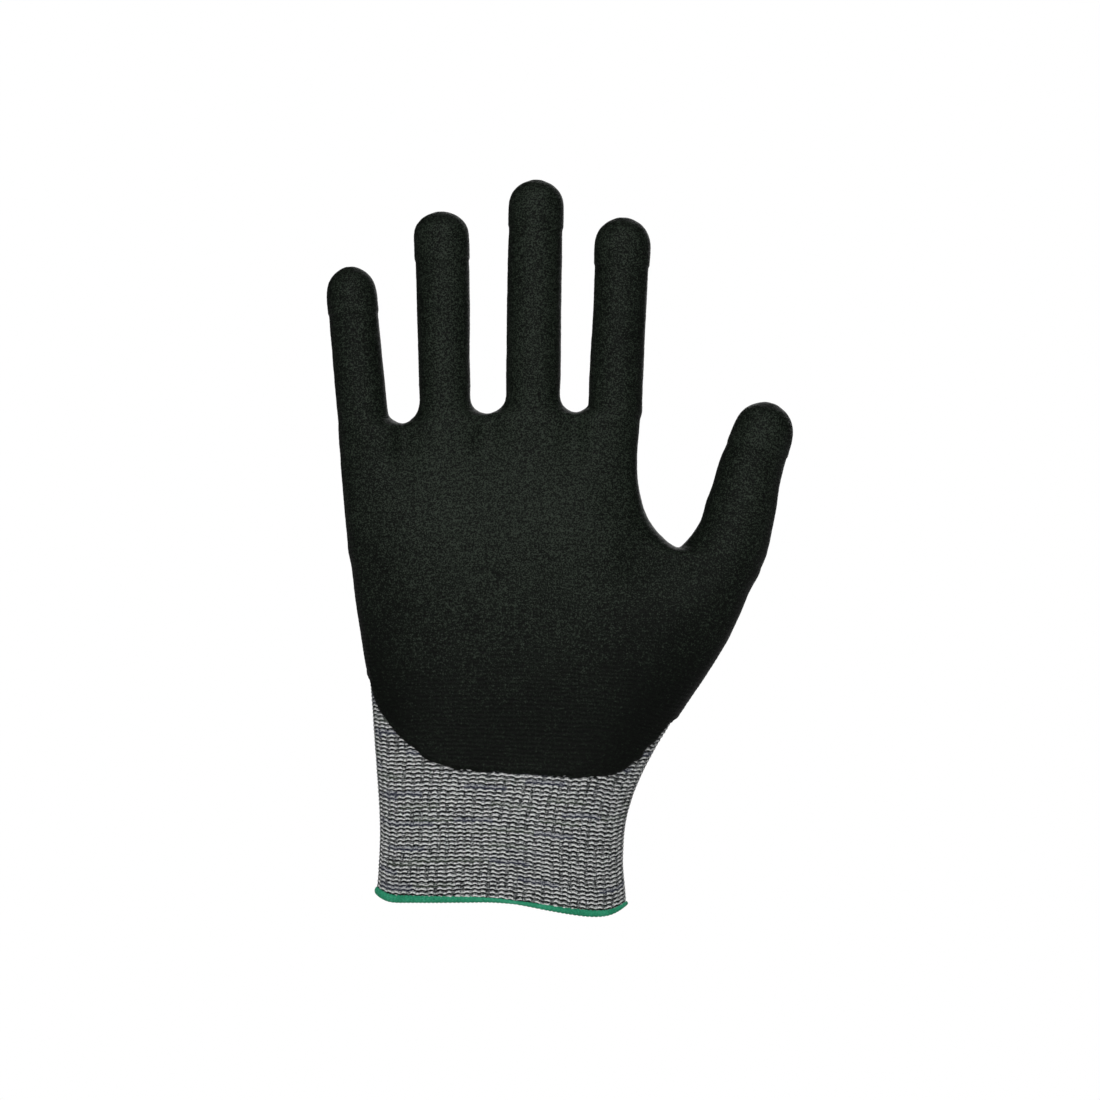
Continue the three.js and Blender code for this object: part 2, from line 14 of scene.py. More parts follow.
import bpy
import numpy as np
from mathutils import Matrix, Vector

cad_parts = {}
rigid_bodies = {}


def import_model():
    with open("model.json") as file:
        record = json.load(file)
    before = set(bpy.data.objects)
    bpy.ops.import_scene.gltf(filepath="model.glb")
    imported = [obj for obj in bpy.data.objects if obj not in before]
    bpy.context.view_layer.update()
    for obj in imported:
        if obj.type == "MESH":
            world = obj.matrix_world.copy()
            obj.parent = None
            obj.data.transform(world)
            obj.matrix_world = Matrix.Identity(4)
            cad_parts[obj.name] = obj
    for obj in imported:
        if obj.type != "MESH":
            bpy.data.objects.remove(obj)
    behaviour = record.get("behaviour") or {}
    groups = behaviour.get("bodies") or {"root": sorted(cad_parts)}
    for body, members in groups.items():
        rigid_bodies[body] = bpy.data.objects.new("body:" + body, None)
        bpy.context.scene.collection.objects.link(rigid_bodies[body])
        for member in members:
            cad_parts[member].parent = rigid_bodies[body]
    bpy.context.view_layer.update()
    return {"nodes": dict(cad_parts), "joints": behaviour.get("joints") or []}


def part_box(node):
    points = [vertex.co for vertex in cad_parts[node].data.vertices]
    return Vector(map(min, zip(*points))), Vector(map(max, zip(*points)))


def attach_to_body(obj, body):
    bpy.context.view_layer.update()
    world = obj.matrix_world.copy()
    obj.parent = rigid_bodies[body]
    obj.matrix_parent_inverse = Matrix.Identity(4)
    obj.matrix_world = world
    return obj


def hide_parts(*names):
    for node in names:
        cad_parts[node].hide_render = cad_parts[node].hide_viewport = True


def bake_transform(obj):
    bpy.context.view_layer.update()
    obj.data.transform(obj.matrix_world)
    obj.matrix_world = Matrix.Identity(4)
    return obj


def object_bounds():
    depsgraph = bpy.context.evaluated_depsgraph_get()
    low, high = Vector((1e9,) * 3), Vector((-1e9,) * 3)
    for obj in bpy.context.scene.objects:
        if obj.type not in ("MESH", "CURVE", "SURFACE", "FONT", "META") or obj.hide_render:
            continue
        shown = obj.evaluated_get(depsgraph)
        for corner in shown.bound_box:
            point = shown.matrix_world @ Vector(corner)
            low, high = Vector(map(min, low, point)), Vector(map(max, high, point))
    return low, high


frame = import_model()

# ---- Dimensions that the CAD model doesn't hold ----

MM = 0.001

# Grid of the skin: each quad of the cage is 4 wales wide and about 4 courses high.
COLUMN_WALES = 4
ROW_COURSES = 4
COURSE_HEIGHT = 1.43
SUBDIVISIONS = 4
GRID = 2 ** SUBDIVISIONS        # fine quads along the side of one cage quad
INNER_STEP = 4                  # the inside of the liner keeps every fourth of them
LOWER_ROWS = 21                 # cage rows between the thumb crotch and the hem
CUFF_ROW = 11                   # last of those rows above the cuff
HEEL_ROW = 5                    # last of those rows above the heel of the hand
UPPER_ROWS = 7                  # cage rows between the finger roots and the thumb crotch
KNUCKLE_ROWS = 5                # of those, the rows that belong to the knuckle piece
FRONT_ANGLES = np.radians([-67.5, -22.5, 22.5, 67.5])
FLAT_SHARE = 0.4                # share of the half width over which the hand is flat
SIDE_SHARE = 0.97               # where the side columns start, as a share of the half width
CAGE_PASSES = 4                 # passes that fit the cage to the measured points
LOWEST_SECTION = 7.0            # lowest height at which the CAD's sides are measured

# Digits.
FINGER_NAMES = ["little", "ring", "middle", "index"]
FINGER_PARTS = ["base", "middle", "tip"]
CROTCH_HALF_DEPTH = 4.3         # half the length of a crotch, from palm to back
THUMB_CROTCH_HALF_DEPTH = 7.5
CROTCH_DROP = 0.6               # the crotches lie this far below the lowest place on the CAD's edge
THUMB_CROTCH_DROP = 1.0
THUMB_CROTCH_SHIFT = 2.6        # and the thumb's crotch this far towards the index finger
CROTCH_FLARE = 6.0              # a finger flares out towards its crotches over this length
ROOT_FADE = 16.0                # its rings slant like its root, less and less up to this height
FIRST_RINGS = (3.0, 7.0)
DOME_SHARES = {                 # height of each rounded tip, as a share of the digit's width
    "little": 0.58, "ring": 0.42, "middle": 0.47, "index": 0.50, "thumb": 0.52,
}
TRIMS = {"little": (0.0, -0.6), "ring": (0.3, -0.5)}    # (left, right) side, against the CAD
DOME_DEGREES = [28, 52, 73]
TIP_SCALE = 0.14
PART_SHARES = (0.42, 0.52)      # where pieces meet between two finger joints
THUMB_PART = 19.0               # height above the thumb's root at which its two pieces meet
CROTCH_HOLLOW = 2.0             # how far the hand stands back just above the thumb's crotch,
CROTCH_HOLLOW_RISE = 6.5        # most of all at this height above it,
CROTCH_HOLLOW_WIDTH = 4.5       # fading over this height
THUMB_HOLLOW, THUMB_HOLLOW_HEIGHTS = 1.5, (0, 3, 10, 18)    # shape of the thumb's two sides:
THUMB_SWELL, THUMB_SWELL_HEIGHTS = 1.0, (1, 9, 20, 34)      # how far, and where it starts and ends
THUMB_TIP_SLANT, THUMB_TIP_SLANT_HEIGHTS = 2.2, (30, 48)
THUMB_TIP_SWELL, THUMB_TIP_SWELL_HEIGHTS = 0.2, (30, 42)
THUMB_TIP_DROP = 0.5            # the thumb's tip lies this far below the CAD's
THUMB_ROOT_WIDTHS = (20.0, 34.0)        # its root is looked for between these widths
THUMB_TIP_AT = 46.0             # the width of its rounded tip is read at this height above its root
THUMB_DEPTH_AT = 36.0           # and its thickness above the fold at this one
THUMB_CROTCH_DEPTH_SHARE = 0.72         # its root's thickness, as a share of the hand's
CROTCH_TO_OUTER_ROOT = 1.0      # the outer sides of the fingers start this far below the crotches
OUTER_ROOT_INSET = 1.1          # there, the last front and back columns lie this far inside the outline
OUTER_ROOT_HALF_DEPTH = 3.0
ROOT_SHAPE_SHARE = 0.60         # share of the upper hand over which the finger shapes fade
ROOT_DEPTH_SHARE = 0.22         # share of the lower hand over which the depth of the rows above fades
SPREAD_SHARE = 0.75             # and share over which its columns become evenly spaced
SPREAD_HEIGHT = 20.0            # as they are at this height

# Curl of the cuff's lower edge at the little finger's side and at the thumb's side.
LEFT_CURL, LEFT_CURL_REACH = 1.7, 5.5
RIGHT_CURL, RIGHT_CURL_REACH = 3.0, 8.5

# Layers.
LINER_THICKNESS = 1.2
RELIEF = 0.34                   # height of the knit's ridges
RELIEF_BASE = -0.20
COAT_THICKNESS = 0.92
COAT_SUNK = 0.25                # the foam reaches this far into the yarns
LIP_WIDTH = 1.3
LIP_HEIGHT = 0.10
SECOND_DIP = 0.34               # the fingertips are dipped twice
SECOND_DIP_EDGE = (-0.6, 1.0)
ARC_RISE = 0.13                 # how far the middle of a stitch's arc stands above its ends, in courses
ARC_CENTRE = 0.27               # where the strong arc of each pair of wales lies

# Border of the coating.
ROUNDING = 2.5                  # where the border turns up into the wrap, it turns over this width
SIDE_STRIP_WRAP = -6.0          # beside the heel, bare knit shows on the thumb's side of the palm
SIDE_STRIP_X = (36, 44)
SIDE_STRIP_HEIGHTS = (55, 72)   # the coating closes over that strip between these heights
BORDER_TOP = 65.0               # the lower border meets the thumb's side of the hand below this height
BORDER_RISE = 0.9
LEAST_SHARE = 0.06              # a cut this near a vertex is moved off it, so that no face is a sliver

# Hem: its height at these places across the cuff, and the thread that is wound round it.
HEM_PLACES = (-42.0, -28.0, -10.0, 5.0, 14.0, 28.0, 36.0, 42.0)
HEM_HEIGHTS = (2.7, 2.3, 2.0, 1.2, 1.8, 2.2, 2.0, 1.4)
HEM_HALF_WIDTH = 1.15           # half the thickness of the hem, over both faces of the knit
HEM_LIFT = 0.1                  # its middle stands this far above the knit's lower edge
HEM_RINGS, HEM_AROUND = 1500, 28
THREAD_PITCH = 1.45
THREAD_HEIGHT = 0.24
STRAND_HEIGHT = 0.07

# Covered elastic.
ELASTIC_RADIUS = 0.34
ELASTIC_GAP = 0.25              # between the yarn and the inside of the knit
ELASTIC_TURNS = 6
ELASTIC_STEPS = 420             # rings of the tube per turn
ELASTIC_AROUND = 10
ELASTIC_SEARCH = 80             # places tried on a quarter of the cuff for the middle of each ring
ELASTIC_PASSES = 6              # passes that smooth the line through them
WRAPS_PER_TURN = 150
WRAP_HEIGHT = 0.05

# How far before and after a fold the blend ends of the pieces lie.
WRIST_REACH = 12.0
KNUCKLE_REACH = 10.0

# Studio, in metres.
FLOOR_SIZE = 12.0
FLOOR_GAP = 0.02                # between the floor and the lowest point of the glove
AMBIENT = 0.07
CAMERA_DISTANCE = 2.0
FRAME_WIDTH = 0.3667            # width of the picture at the glove
AIM = Vector((0.0163, 0.0, 0.1217))


def smoothstep(x, low, high):
    t = np.clip((x - low) / (high - low), 0, 1)
    return t * t * (3 - 2 * t)


def between(x, start, full, fading, end):
    """1 between full and fading, 0 outside start and end."""
    return smoothstep(x, start, full) * (1 - smoothstep(x, fading, end))


def mix(a, b, t):
    return a + (b - a) * t


def unit(vectors):
    return vectors / np.linalg.norm(vectors, axis=-1, keepdims=True)


class Waves:
    """Smooth seeded noise in space: a sum of sine waves, about -1 to 1."""

    def __init__(self, seed, wavelength, count=9):
        random = np.random.default_rng(seed)
        directions = unit(random.normal(size=(count, 3)))
        lengths = wavelength * random.uniform(0.7, 1.6, (count, 1))
        self.waves = directions * math.tau / lengths
        self.phases = random.uniform(0, math.tau, count)
        self.scale = math.sqrt(2 / count) / 1.4

    def __call__(self, places):
        return np.sin(places @ self.waves.T + self.phases).sum(-1) * self.scale


def read_all(items, key, width, kind=float):
    """One property of all items of a Blender collection, as an array with rows of this width."""
    values = np.empty(len(items) * width, kind)
    items.foreach_get(key, values)
    return values.reshape(-1, width)


def add_object(name, data):
    item = bpy.data.objects.new(name, data)
    bpy.context.scene.collection.objects.link(item)
    return item


# ---- Measuring the CAD solids ----

def box_of(name):
    """Lowest and highest corner of a CAD node, in mm."""
    return [np.array(corner, float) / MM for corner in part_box(name)]


def cad_edges(*names):
    """Both ends of every edge of these CAD nodes, in mm."""
    meshes = [frame["nodes"][name].data for name in names]
    return np.concatenate([read_all(mesh.vertices, "co", 3)[read_all(mesh.edges, "vertices", 2, int)] / MM
                           for mesh in meshes])


def section(edges, axis, at):
    """Points where these edges cross the plane on which the given coordinate equals "at"."""
    start, end = edges[:, 0], edges[:, 1]
    before, after = start[:, axis] - at, end[:, axis] - at
    crossing = before * after < 0
    share = before[crossing] / (before[crossing] - after[crossing])
    return start[crossing] + share[:, None] * (end - start)[crossing]


def smooth_curve(positions, values, passes=2):
    """A function through these values, rounded a little."""
    values = np.array(values, float)
    for _ in range(passes):
        values[1:-1] = values[1:-1] / 2 + (values[:-2] + values[2:]) / 4
    return lambda x: np.interp(x, positions, values)


JOINTS = {joint["name"]: joint for joint in frame["joints"]}


def joint_place(name):
    return np.array(JOINTS[name]["pos_m"]) / MM


def joint_forward(name):
    """The direction from the parent to the child, across the joint's axis and in the hand's plane."""
    x, _, z = JOINTS[name]["axis"]
    return np.array([-z, 0.0, x])


HAND = cad_edges("knit_cuff", "palm_liner", "knuckle_liner", "thumb_base_liner")

# Side edges of the hand. Every height stays clear of the gaps at the folds.
side_heights = np.arange(LOWEST_SECTION, 162.0, 5.0)
side_sections = [section(HAND, 2, z) for z in side_heights]
little_side = smooth_curve(side_heights, [s[:, 0].min() for s in side_sections], 1)

# Crotches: the lowest places of the upper edge, between two fingers and beside the thumb.
KNUCKLE_EDGES = cad_edges("knuckle_liner")
PALM_EDGES = cad_edges("palm_liner")


def lowest_top(edges, low_x, high_x):
    """(x, z) of the lowest place on the upper edge of these solids between two places in x."""
    xs = np.arange(low_x, high_x, 0.25)
    tops = [section(edges, 0, x)[:, 2].max() for x in xs]
    lowest = int(np.argmin(tops))
    return np.array([xs[lowest], tops[lowest]])


finger_roots_x = [joint_place(f"{name}_base_bend")[0] for name in FINGER_NAMES]
CROTCHES = [lowest_top(KNUCKLE_EDGES, a + 5, b - 5) - [0, CROTCH_DROP]
            for a, b in zip(finger_roots_x, finger_roots_x[1:])]
thumb_fold_x = joint_place("thumb_swing")[0]
THUMB_CROTCH = lowest_top(PALM_EDGES, thumb_fold_x - 10, thumb_fold_x - 1.5)
THUMB_CROTCH = THUMB_CROTCH - [THUMB_CROTCH_SHIFT, THUMB_CROTCH_DROP]

upper_edges = cad_edges("knuckle_liner", "palm_liner")
upper_cuts = [(z, section(upper_edges, 2, z)) for z in np.arange(THUMB_CROTCH[1] + 0.5, 163, 3.0)]
upper_cuts = [(z, cut[cut[:, 0] < THUMB_CROTCH[0]]) for z, cut in upper_cuts if len(cut)]
measured_index_side = smooth_curve([z for z, _ in upper_cuts],
                                   [cut[:, 0].max() for _, cut in upper_cuts], 1)


def index_side(z):
    """Side of the hand above the thumb's crotch, hollowed so that the crotch is a round U."""
    return measured_index_side(z) - CROTCH_HOLLOW * np.exp(
        -((z - THUMB_CROTCH[1] - CROTCH_HOLLOW_RISE) / CROTCH_HOLLOW_WIDTH) ** 2)


below_crotch = side_heights < THUMB_CROTCH[1] - 1
thumb_side = smooth_curve(side_heights[below_crotch],
                          [s[:, 0].max() for s, low in zip(side_sections, below_crotch) if low], 1)

# Half the thickness of the hand, read where no fold cuts it.
depth_heights = np.array([4.0, 20.0, 60.0, 70.0, 84.0, 96.0, 112.0, 124.0, 132.0, 155.0, 165.0])
half_depth = smooth_curve(depth_heights, [
    np.abs(section(cad_edges("knit_cuff", "palm_liner", "knuckle_liner"), 2, z)[:, 1]).max()
    for z in depth_heights], 0)

# The knit's lower edge.
cuff_edges = cad_edges("knit_cuff")
cuff_low, cuff_high = box_of("knit_cuff")
hem_xs = np.linspace(cuff_low[0] + 1, cuff_high[0] - 1, 40)
cut_height = smooth_curve(hem_xs, [section(cuff_edges, 0, x)[:, 2].min() for x in hem_xs], 2)


def hem_height(x):
    """Height of the knit's lower edge, which curls up towards both sides of the cuff."""
    left = max(0, (hem_xs[0] + LEFT_CURL_REACH - x) / LEFT_CURL_REACH)
    right = max(0, (x - hem_xs[-1] + RIGHT_CURL_REACH) / RIGHT_CURL_REACH)
    return cut_height(x) + LEFT_CURL * left ** 2 + RIGHT_CURL * right ** 2


class Digit:
    """A digit's own frame: its root, the direction along it and the direction across it."""

    def __init__(self, name, joint, root_ends):
        self.name = name
        self.forward = joint_forward(joint)
        self.across = np.array([self.forward[2], 0.0, -self.forward[0]])
        centre = joint_place(joint)
        middle = (np.array(root_ends[0]) + np.array(root_ends[1])) / 2
        rise = middle[1] - centre[2]
        self.root = centre + self.forward * rise / self.forward[2]
        tip = box_of(f"{name}_tip_liner")[1]
        self.length = (tip[2] - self.root[2]) / self.forward[2]

    def along(self, places):
        return (places - self.root) @ self.forward

    def local_edges(self, *nodes):
        """Edges of CAD nodes as (across, y, along) from the digit's root."""
        edges = cad_edges(*nodes) - self.root
        return np.stack([edges @ self.across, edges[..., 1], edges @ self.forward], -1)

    def place(self, along, across, y):
        place = self.root + self.forward * along + self.across * across
        return np.array([place[0], y, place[2]])


# ---- The cage ----

class Cage:
    """Quads that the skin follows. Each corner has a stitch count, and each quad belongs to a piece."""

    def __init__(self):
        self.points = []
        self.quads = []
        self.stitches = []
        self.pieces = []

    def point(self, place):
        self.points.append(np.array(place, float))
        return len(self.points) - 1

    def band(self, upper, lower, wales, courses, piece_of):
        """Quads between two loops. wales: count at the start of each column; courses: (upper, lower)."""
        for i, corner in enumerate(upper):
            j = (i + 1) % len(upper)
            self.quads.append((corner, lower[i], lower[j], upper[j]))
            start, end = wales[i], wales[i] + COLUMN_WALES
            self.stitches.append(((start, courses[0]), (start, courses[1]),
                                  (end, courses[1]), (end, courses[0])))
            self.pieces.append(piece_of(i))


cage = Cage()


def loop_of(front, back):
    """A loop runs along the front from -X to +X, then along the back from +X to -X."""
    return list(front) + list(back)[::-1]


FRONT_POINTS = 16                         # points across the front of the hand below the thumb crotch
ALL_COLUMNS = 2 * FRONT_POINTS
FINGER_COLUMNS = len(FRONT_ANGLES) - 1
THUMB_COLUMN = FINGER_COLUMNS * len(FINGER_NAMES)
LAST_COLUMN = THUMB_COLUMN + FINGER_COLUMNS
CROTCH_COURSE = ROW_COURSES * LOWER_ROWS
ROOT_COURSE = CROTCH_COURSE + ROW_COURSES * UPPER_ROWS


def wales_of(first, last):
    """Stitch counts of the columns of a loop whose front runs from column "first" to "last"."""
    front = [COLUMN_WALES * k for k in range(first, last + 1)]
    back = [COLUMN_WALES * (ALL_COLUMNS - 1 - k) for k in range(last, first - 1, -1)]
    return front + back


def depth_share(u):
    w = np.maximum(0, (np.abs(u) - FLAT_SHARE) / (1 - FLAT_SHARE))
    return np.sqrt(np.maximum(0, 1 - w * w))


def hand_place(u, z, right_side, sign):
    """Place on the hand at height z; u runs from -1 at the little finger's side to 1."""
    left, right = little_side(z), right_side(z)
    return np.array([mix(left, right, (1 + u) / 2), sign * half_depth(z) * depth_share(u), z])


def add_rows(front, back, top_course, last_column, rows, place, piece_of):
    """Rows of quads down the hand from a loop. place(row, k, sign) is corner k of a row."""
    columns = range(len(front))
    for row in range(1, rows + 1):
        next_front = [cage.point(place(row, k, -1)) for k in columns]
        next_back = [cage.point(place(row, k, 1)) for k in columns]
        courses = (top_course - ROW_COURSES * (row - 1), top_course - ROW_COURSES * row)
        cage.band(loop_of(front, back), loop_of(next_front, next_back), wales_of(0, last_column),
                  courses, lambda i: piece_of(row, i))
        front, back = next_front, next_back
    return front, back


def ring_stations(stops):
    """Heights of the rings between these stops, spaced about one cage row apart."""
    heights = []
    for start, end in zip(stops, stops[1:]):
        rows = max(1, round((end - start) / (ROW_COURSES * COURSE_HEIGHT)))
        heights += [mix(start, end, row / rows) for row in range(1, rows + 1)]
    return heights


def add_digit(digit, root_front, root_back, wales, course, stops, centre_at, half_width_at,
              half_depth_at, pieces):
    """Adds a digit's rings above its root loop and closes the tip. pieces: [(top height, name)]."""
    dome = half_width_at(digit.length) * 2 * DOME_SHARES[digit.name]
    straight = digit.length - dome
    rings = [(s, 1.0) for s in ring_stations([FIRST_RINGS[-1], *stops, straight])]
    rings = [(s, 1.0) for s in FIRST_RINGS] + rings
    for degrees in DOME_DEGREES:
        angle = math.radians(degrees)
        rings.append((straight + dome * math.sin(angle), math.cos(angle)))
    rings.append((digit.length, TIP_SCALE))

    ends = (cage.points[root_front[-1]] - cage.points[root_front[0]])
    root_slant = (ends @ digit.forward) / (ends @ digit.across)

    def ring(s, scale, sign):
        slant = root_slant * (1 - smoothstep(s, 0, ROOT_FADE))
        points = []
        for angle in FRONT_ANGLES:
            across = centre_at(s) + scale * half_width_at(s) * math.sin(angle)
            y = sign * scale * half_depth_at(s) * math.cos(angle)
            points.append(cage.point(digit.place(s + slant * across, across, y)))
        return points

    front, back, before = root_front, root_back, 0.0
    for s, scale in rings:
        next_front, next_back = ring(s, scale, -1), ring(s, scale, 1)
        piece = next(name for top, name in pieces if s <= top + 0.01)
        cage.band(loop_of(next_front, next_back), loop_of(front, back), wales,
                  (course + s / COURSE_HEIGHT, course + before / COURSE_HEIGHT), lambda i: piece)
        front, back, before = next_front, next_back, s
    top = course + digit.length / COURSE_HEIGHT
    for k in range(3):
        cage.quads.append((front[k], front[k + 1], back[k + 1], back[k]))
        cage.stitches.append(((wales[k], top), (wales[k] + 4, top), (wales[k] + 4, top + 1),
                              (wales[k], top + 1)))
        cage.pieces.append(pieces[-1][1])


# Finger roots.
left_root = np.array([0.0, CROTCHES[0][1] - CROTCH_TO_OUTER_ROOT])
left_root[0] = little_side(left_root[1]) + OUTER_ROOT_INSET
right_root = np.array([0.0, CROTCHES[-1][1] - CROTCH_TO_OUTER_ROOT])
right_root[0] = index_side(right_root[1]) - OUTER_ROOT_INSET
root_ends = [left_root, *CROTCHES, right_root]
end_depths = [OUTER_ROOT_HALF_DEPTH, *[CROTCH_HALF_DEPTH] * len(CROTCHES), OUTER_ROOT_HALF_DEPTH]
edge_points = [[cage.point([x, sign * depth, z]) for sign in (-1, 1)]
               for (x, z), depth in zip(root_ends, end_depths)]
FINGERS = []
root_front, root_back = [edge_points[0][0]], [edge_points[0][1]]
finger_loops = []
for f, name in enumerate(FINGER_NAMES):
    ends = root_ends[f:f + 2]
    digit = Digit(name, f"{name}_base_bend", ends)
    FINGERS.append(digit)
    loops = []
    for which, sign in enumerate((-1, 1)):
        inner = []
        for angle in FRONT_ANGLES[1:3]:
            share = (1 + math.sin(angle) / math.sin(FRONT_ANGLES[-1])) / 2
            x, z = mix(ends[0], ends[1], share)
            inner.append(cage.point([x, sign * half_depth(z) * math.cos(angle), z]))
        loops.append([edge_points[f][which], *inner, edge_points[f + 1][which]])
    finger_loops.append(loops)
    root_front += loops[0][1:]
    root_back += loops[1][1:]


def finger_stops(digit):
    """Where the pieces of a finger meet, between its joints."""
    joints = [digit.along(joint_place(f"{digit.name}_{part}_bend")) for part in FINGER_PARTS]
    return [mix(a, b, share) for a, b, share in zip(joints, joints[1:], PART_SHARES)]


for f, digit in enumerate(FINGERS):
    edges = digit.local_edges(f"{digit.name}_middle_liner")
    middle = (edges[..., 2].min() + edges[..., 2].max()) / 2
    cut = section(edges, 2, middle)
    half_width = (cut[:, 0].max() - cut[:, 0].min()) / 2
    centre = (cut[:, 0].max() + cut[:, 0].min()) / 2
    depth = np.abs(cut[:, 1]).max() / math.cos(FRONT_ANGLES[2])
    root_half = np.linalg.norm(root_ends[f + 1] - root_ends[f]) / 2 / math.sin(FRONT_ANGLES[-1])
    trims = TRIMS.get(digit.name, (0.0, 0.0))

    outer_side = {0: -1, len(FINGERS) - 1: 1}.get(f)

    def side_at(s, side, half_width=half_width, centre=centre, root_half=root_half, trims=trims,
                outer_side=outer_side):
        """Where a side of the finger lies across it: side is -1 or 1."""
        flare = 0 if side == outer_side else max(0, 1 - s / CROTCH_FLARE) ** 2
        return mix(centre + side * half_width + trims[side > 0], side * root_half, flare)

    def centre_of(s, side_at=side_at):
        return (side_at(s, -1) + side_at(s, 1)) / 2

    def half_width_of(s, side_at=side_at):
        return (side_at(s, 1) - side_at(s, -1)) / 2

    stops = finger_stops(digit)
    digit.parts = stops
    names = [f"{digit.name}_{part}" for part in FINGER_PARTS]
    pieces = list(zip([*stops, digit.length], names))
    wales = wales_of(FINGER_COLUMNS * f, FINGER_COLUMNS * (f + 1))
    add_digit(digit, *finger_loops[f], wales, ROOT_COURSE, stops, centre_of, half_width_of,
              lambda s, depth=depth: depth, pieces)

# Upper hand, from the finger roots down to the thumb crotch.
first_x, last_x = cage.points[root_front[0]][0], cage.points[root_front[-1]][0]
root_shares = [(cage.points[p][0] - first_x) / (last_x - first_x) for p in root_front]


def upper_place(row, k, sign):
    t = row / UPPER_ROWS
    top = cage.points[(root_front if sign < 0 else root_back)[k]]
    z = mix(top[2], THUMB_CROTCH[1], t)
    place = hand_place(SIDE_SHARE * (2 * root_shares[k] - 1), z, index_side, sign)
    place[1] = mix(place[1], top[1], 1 - smoothstep(t, 0, ROOT_SHAPE_SHARE))
    return place


front, back = add_rows(root_front, root_back, ROOT_COURSE, THUMB_COLUMN, UPPER_ROWS, upper_place,
                       lambda row, i: "knuckle" if row <= KNUCKLE_ROWS else "palm")
for corner, sign in ((front[-1], -1), (back[-1], 1)):
    cage.points[corner] = np.array([THUMB_CROTCH[0], sign * THUMB_CROTCH_HALF_DEPTH, THUMB_CROTCH[1]])

# Thumb. Its root runs from the crotch, square to the thumb, to the far side of the hand.
thumb_forward = joint_forward("thumb_tip_bend")
thumb_across = np.array([thumb_forward[2], 0.0, -thumb_forward[0]])
crotch_place = np.array([THUMB_CROTCH[0], 0.0, THUMB_CROTCH[1]])
reaches = np.arange(*THUMB_ROOT_WIDTHS, 0.1)
over_edge = [thumb_side((crotch_place + thumb_across * r)[2]) - (crotch_place + thumb_across * r)[0]
             for r in reaches]
thumb_root_width = reaches[int(np.argmin(np.abs(over_edge)))]
thumb_far = crotch_place + thumb_across * thumb_root_width
thumb_ends = [crotch_place[[0, 2]], thumb_far[[0, 2]]]
THUMB = Digit("thumb", "thumb_tip_bend", thumb_ends)
THUMB.root = (crotch_place + thumb_far) / 2
thumb_edges = THUMB.local_edges("palm_liner", "thumb_base_liner", "thumb_tip_liner")
# Measured where no fold cuts it, and without the palm's own points.
thumb_heights = np.array([10.0, 15.0, 20.0, 24.0, 32.0, 38.0])
thumb_cuts = [section(thumb_edges, 2, s) for s in thumb_heights]
thumb_cuts = [cut[np.abs(cut[:, 0]) < thumb_root_width * 0.7] for cut in thumb_cuts]
near = [cut[:, 0].min() for cut in thumb_cuts]
far = [cut[:, 0].max() for cut in thumb_cuts]
root_half = thumb_root_width / 2

near_side = smooth_curve([0, *thumb_heights], [-root_half, *near], 0)
far_side = smooth_curve([0, *thumb_heights], [root_half, *far], 0)


def thumb_low(s):
    """Side of the thumb nearest the index finger. It slants away from it towards the tip."""
    hollow = THUMB_HOLLOW * between(s, *THUMB_HOLLOW_HEIGHTS)
    return near_side(s) + hollow + THUMB_TIP_SLANT * smoothstep(s, *THUMB_TIP_SLANT_HEIGHTS)


def thumb_high(s):
    """Outer side of the thumb, which swells a little over its first joint."""
    swell = THUMB_SWELL * between(s, *THUMB_SWELL_HEIGHTS)
    return far_side(s) + swell + THUMB_TIP_SWELL * smoothstep(s, *THUMB_TIP_SWELL_HEIGHTS)


# The thumb leans, so the highest place of its rounded tip isn't on its centre line.
thumb_top = box_of("thumb_tip_liner")[1][2] - THUMB_TIP_DROP
tip_low, tip_high = float(thumb_low(THUMB_TIP_AT)), float(thumb_high(THUMB_TIP_AT))
tip_centre, tip_half_width = (tip_high + tip_low) / 2, (tip_high - tip_low) / 2
tip_dome = tip_half_width * 2 * DOME_SHARES["thumb"]
rise = math.hypot(tip_dome * THUMB.forward[2], tip_half_width * THUMB.across[2])
straight_top = thumb_top - rise - THUMB.root[2] - tip_centre * THUMB.across[2]
THUMB.length = straight_top / THUMB.forward[2] + tip_dome
tip_depth = np.abs(section(thumb_edges, 2, THUMB_DEPTH_AT)[:, 1]).max() / math.cos(FRONT_ANGLES[2])
root_depth = np.abs(thumb_cuts[1][:, 1]).max() / math.cos(FRONT_ANGLES[2])
crotch_depth = half_depth(THUMB_CROTCH[1]) * THUMB_CROTCH_DEPTH_SHARE
thumb_depth = smooth_curve([0, thumb_heights[1], THUMB_DEPTH_AT], [crotch_depth, root_depth, tip_depth], 0)

thumb_loops = []
for shared, sign in ((front[-1], -1), (back[-1], 1)):
    points = [shared]
    for angle in FRONT_ANGLES[1:]:
        sideways = root_half * math.sin(angle) / math.sin(FRONT_ANGLES[-1])
        sideways -= OUTER_ROOT_INSET * (angle == FRONT_ANGLES[-1])
        points.append(cage.point(THUMB.place(0, sideways, sign * thumb_depth(0) * math.cos(angle))))
    thumb_loops.append(points)
add_digit(THUMB, *thumb_loops, wales_of(THUMB_COLUMN, LAST_COLUMN), CROTCH_COURSE, [THUMB_PART],
          lambda s: (thumb_low(s) + thumb_high(s)) / 2, lambda s: (thumb_high(s) - thumb_low(s)) / 2,
          thumb_depth, [(THUMB_PART, "thumb_root"), (THUMB.length, "thumb_tip")])

# Lower hand, from the thumb crotch down to the hem.
top_front = front + thumb_loops[0][1:]
top_back = back + thumb_loops[1][1:]
first_x, last_x = cage.points[top_front[0]][0], cage.points[top_front[-1]][0]
top_x = np.array([cage.points[p][0] for p in top_front])
top_u = SIDE_SHARE * (2 * (top_x - first_x) / (last_x - first_x) - 1)


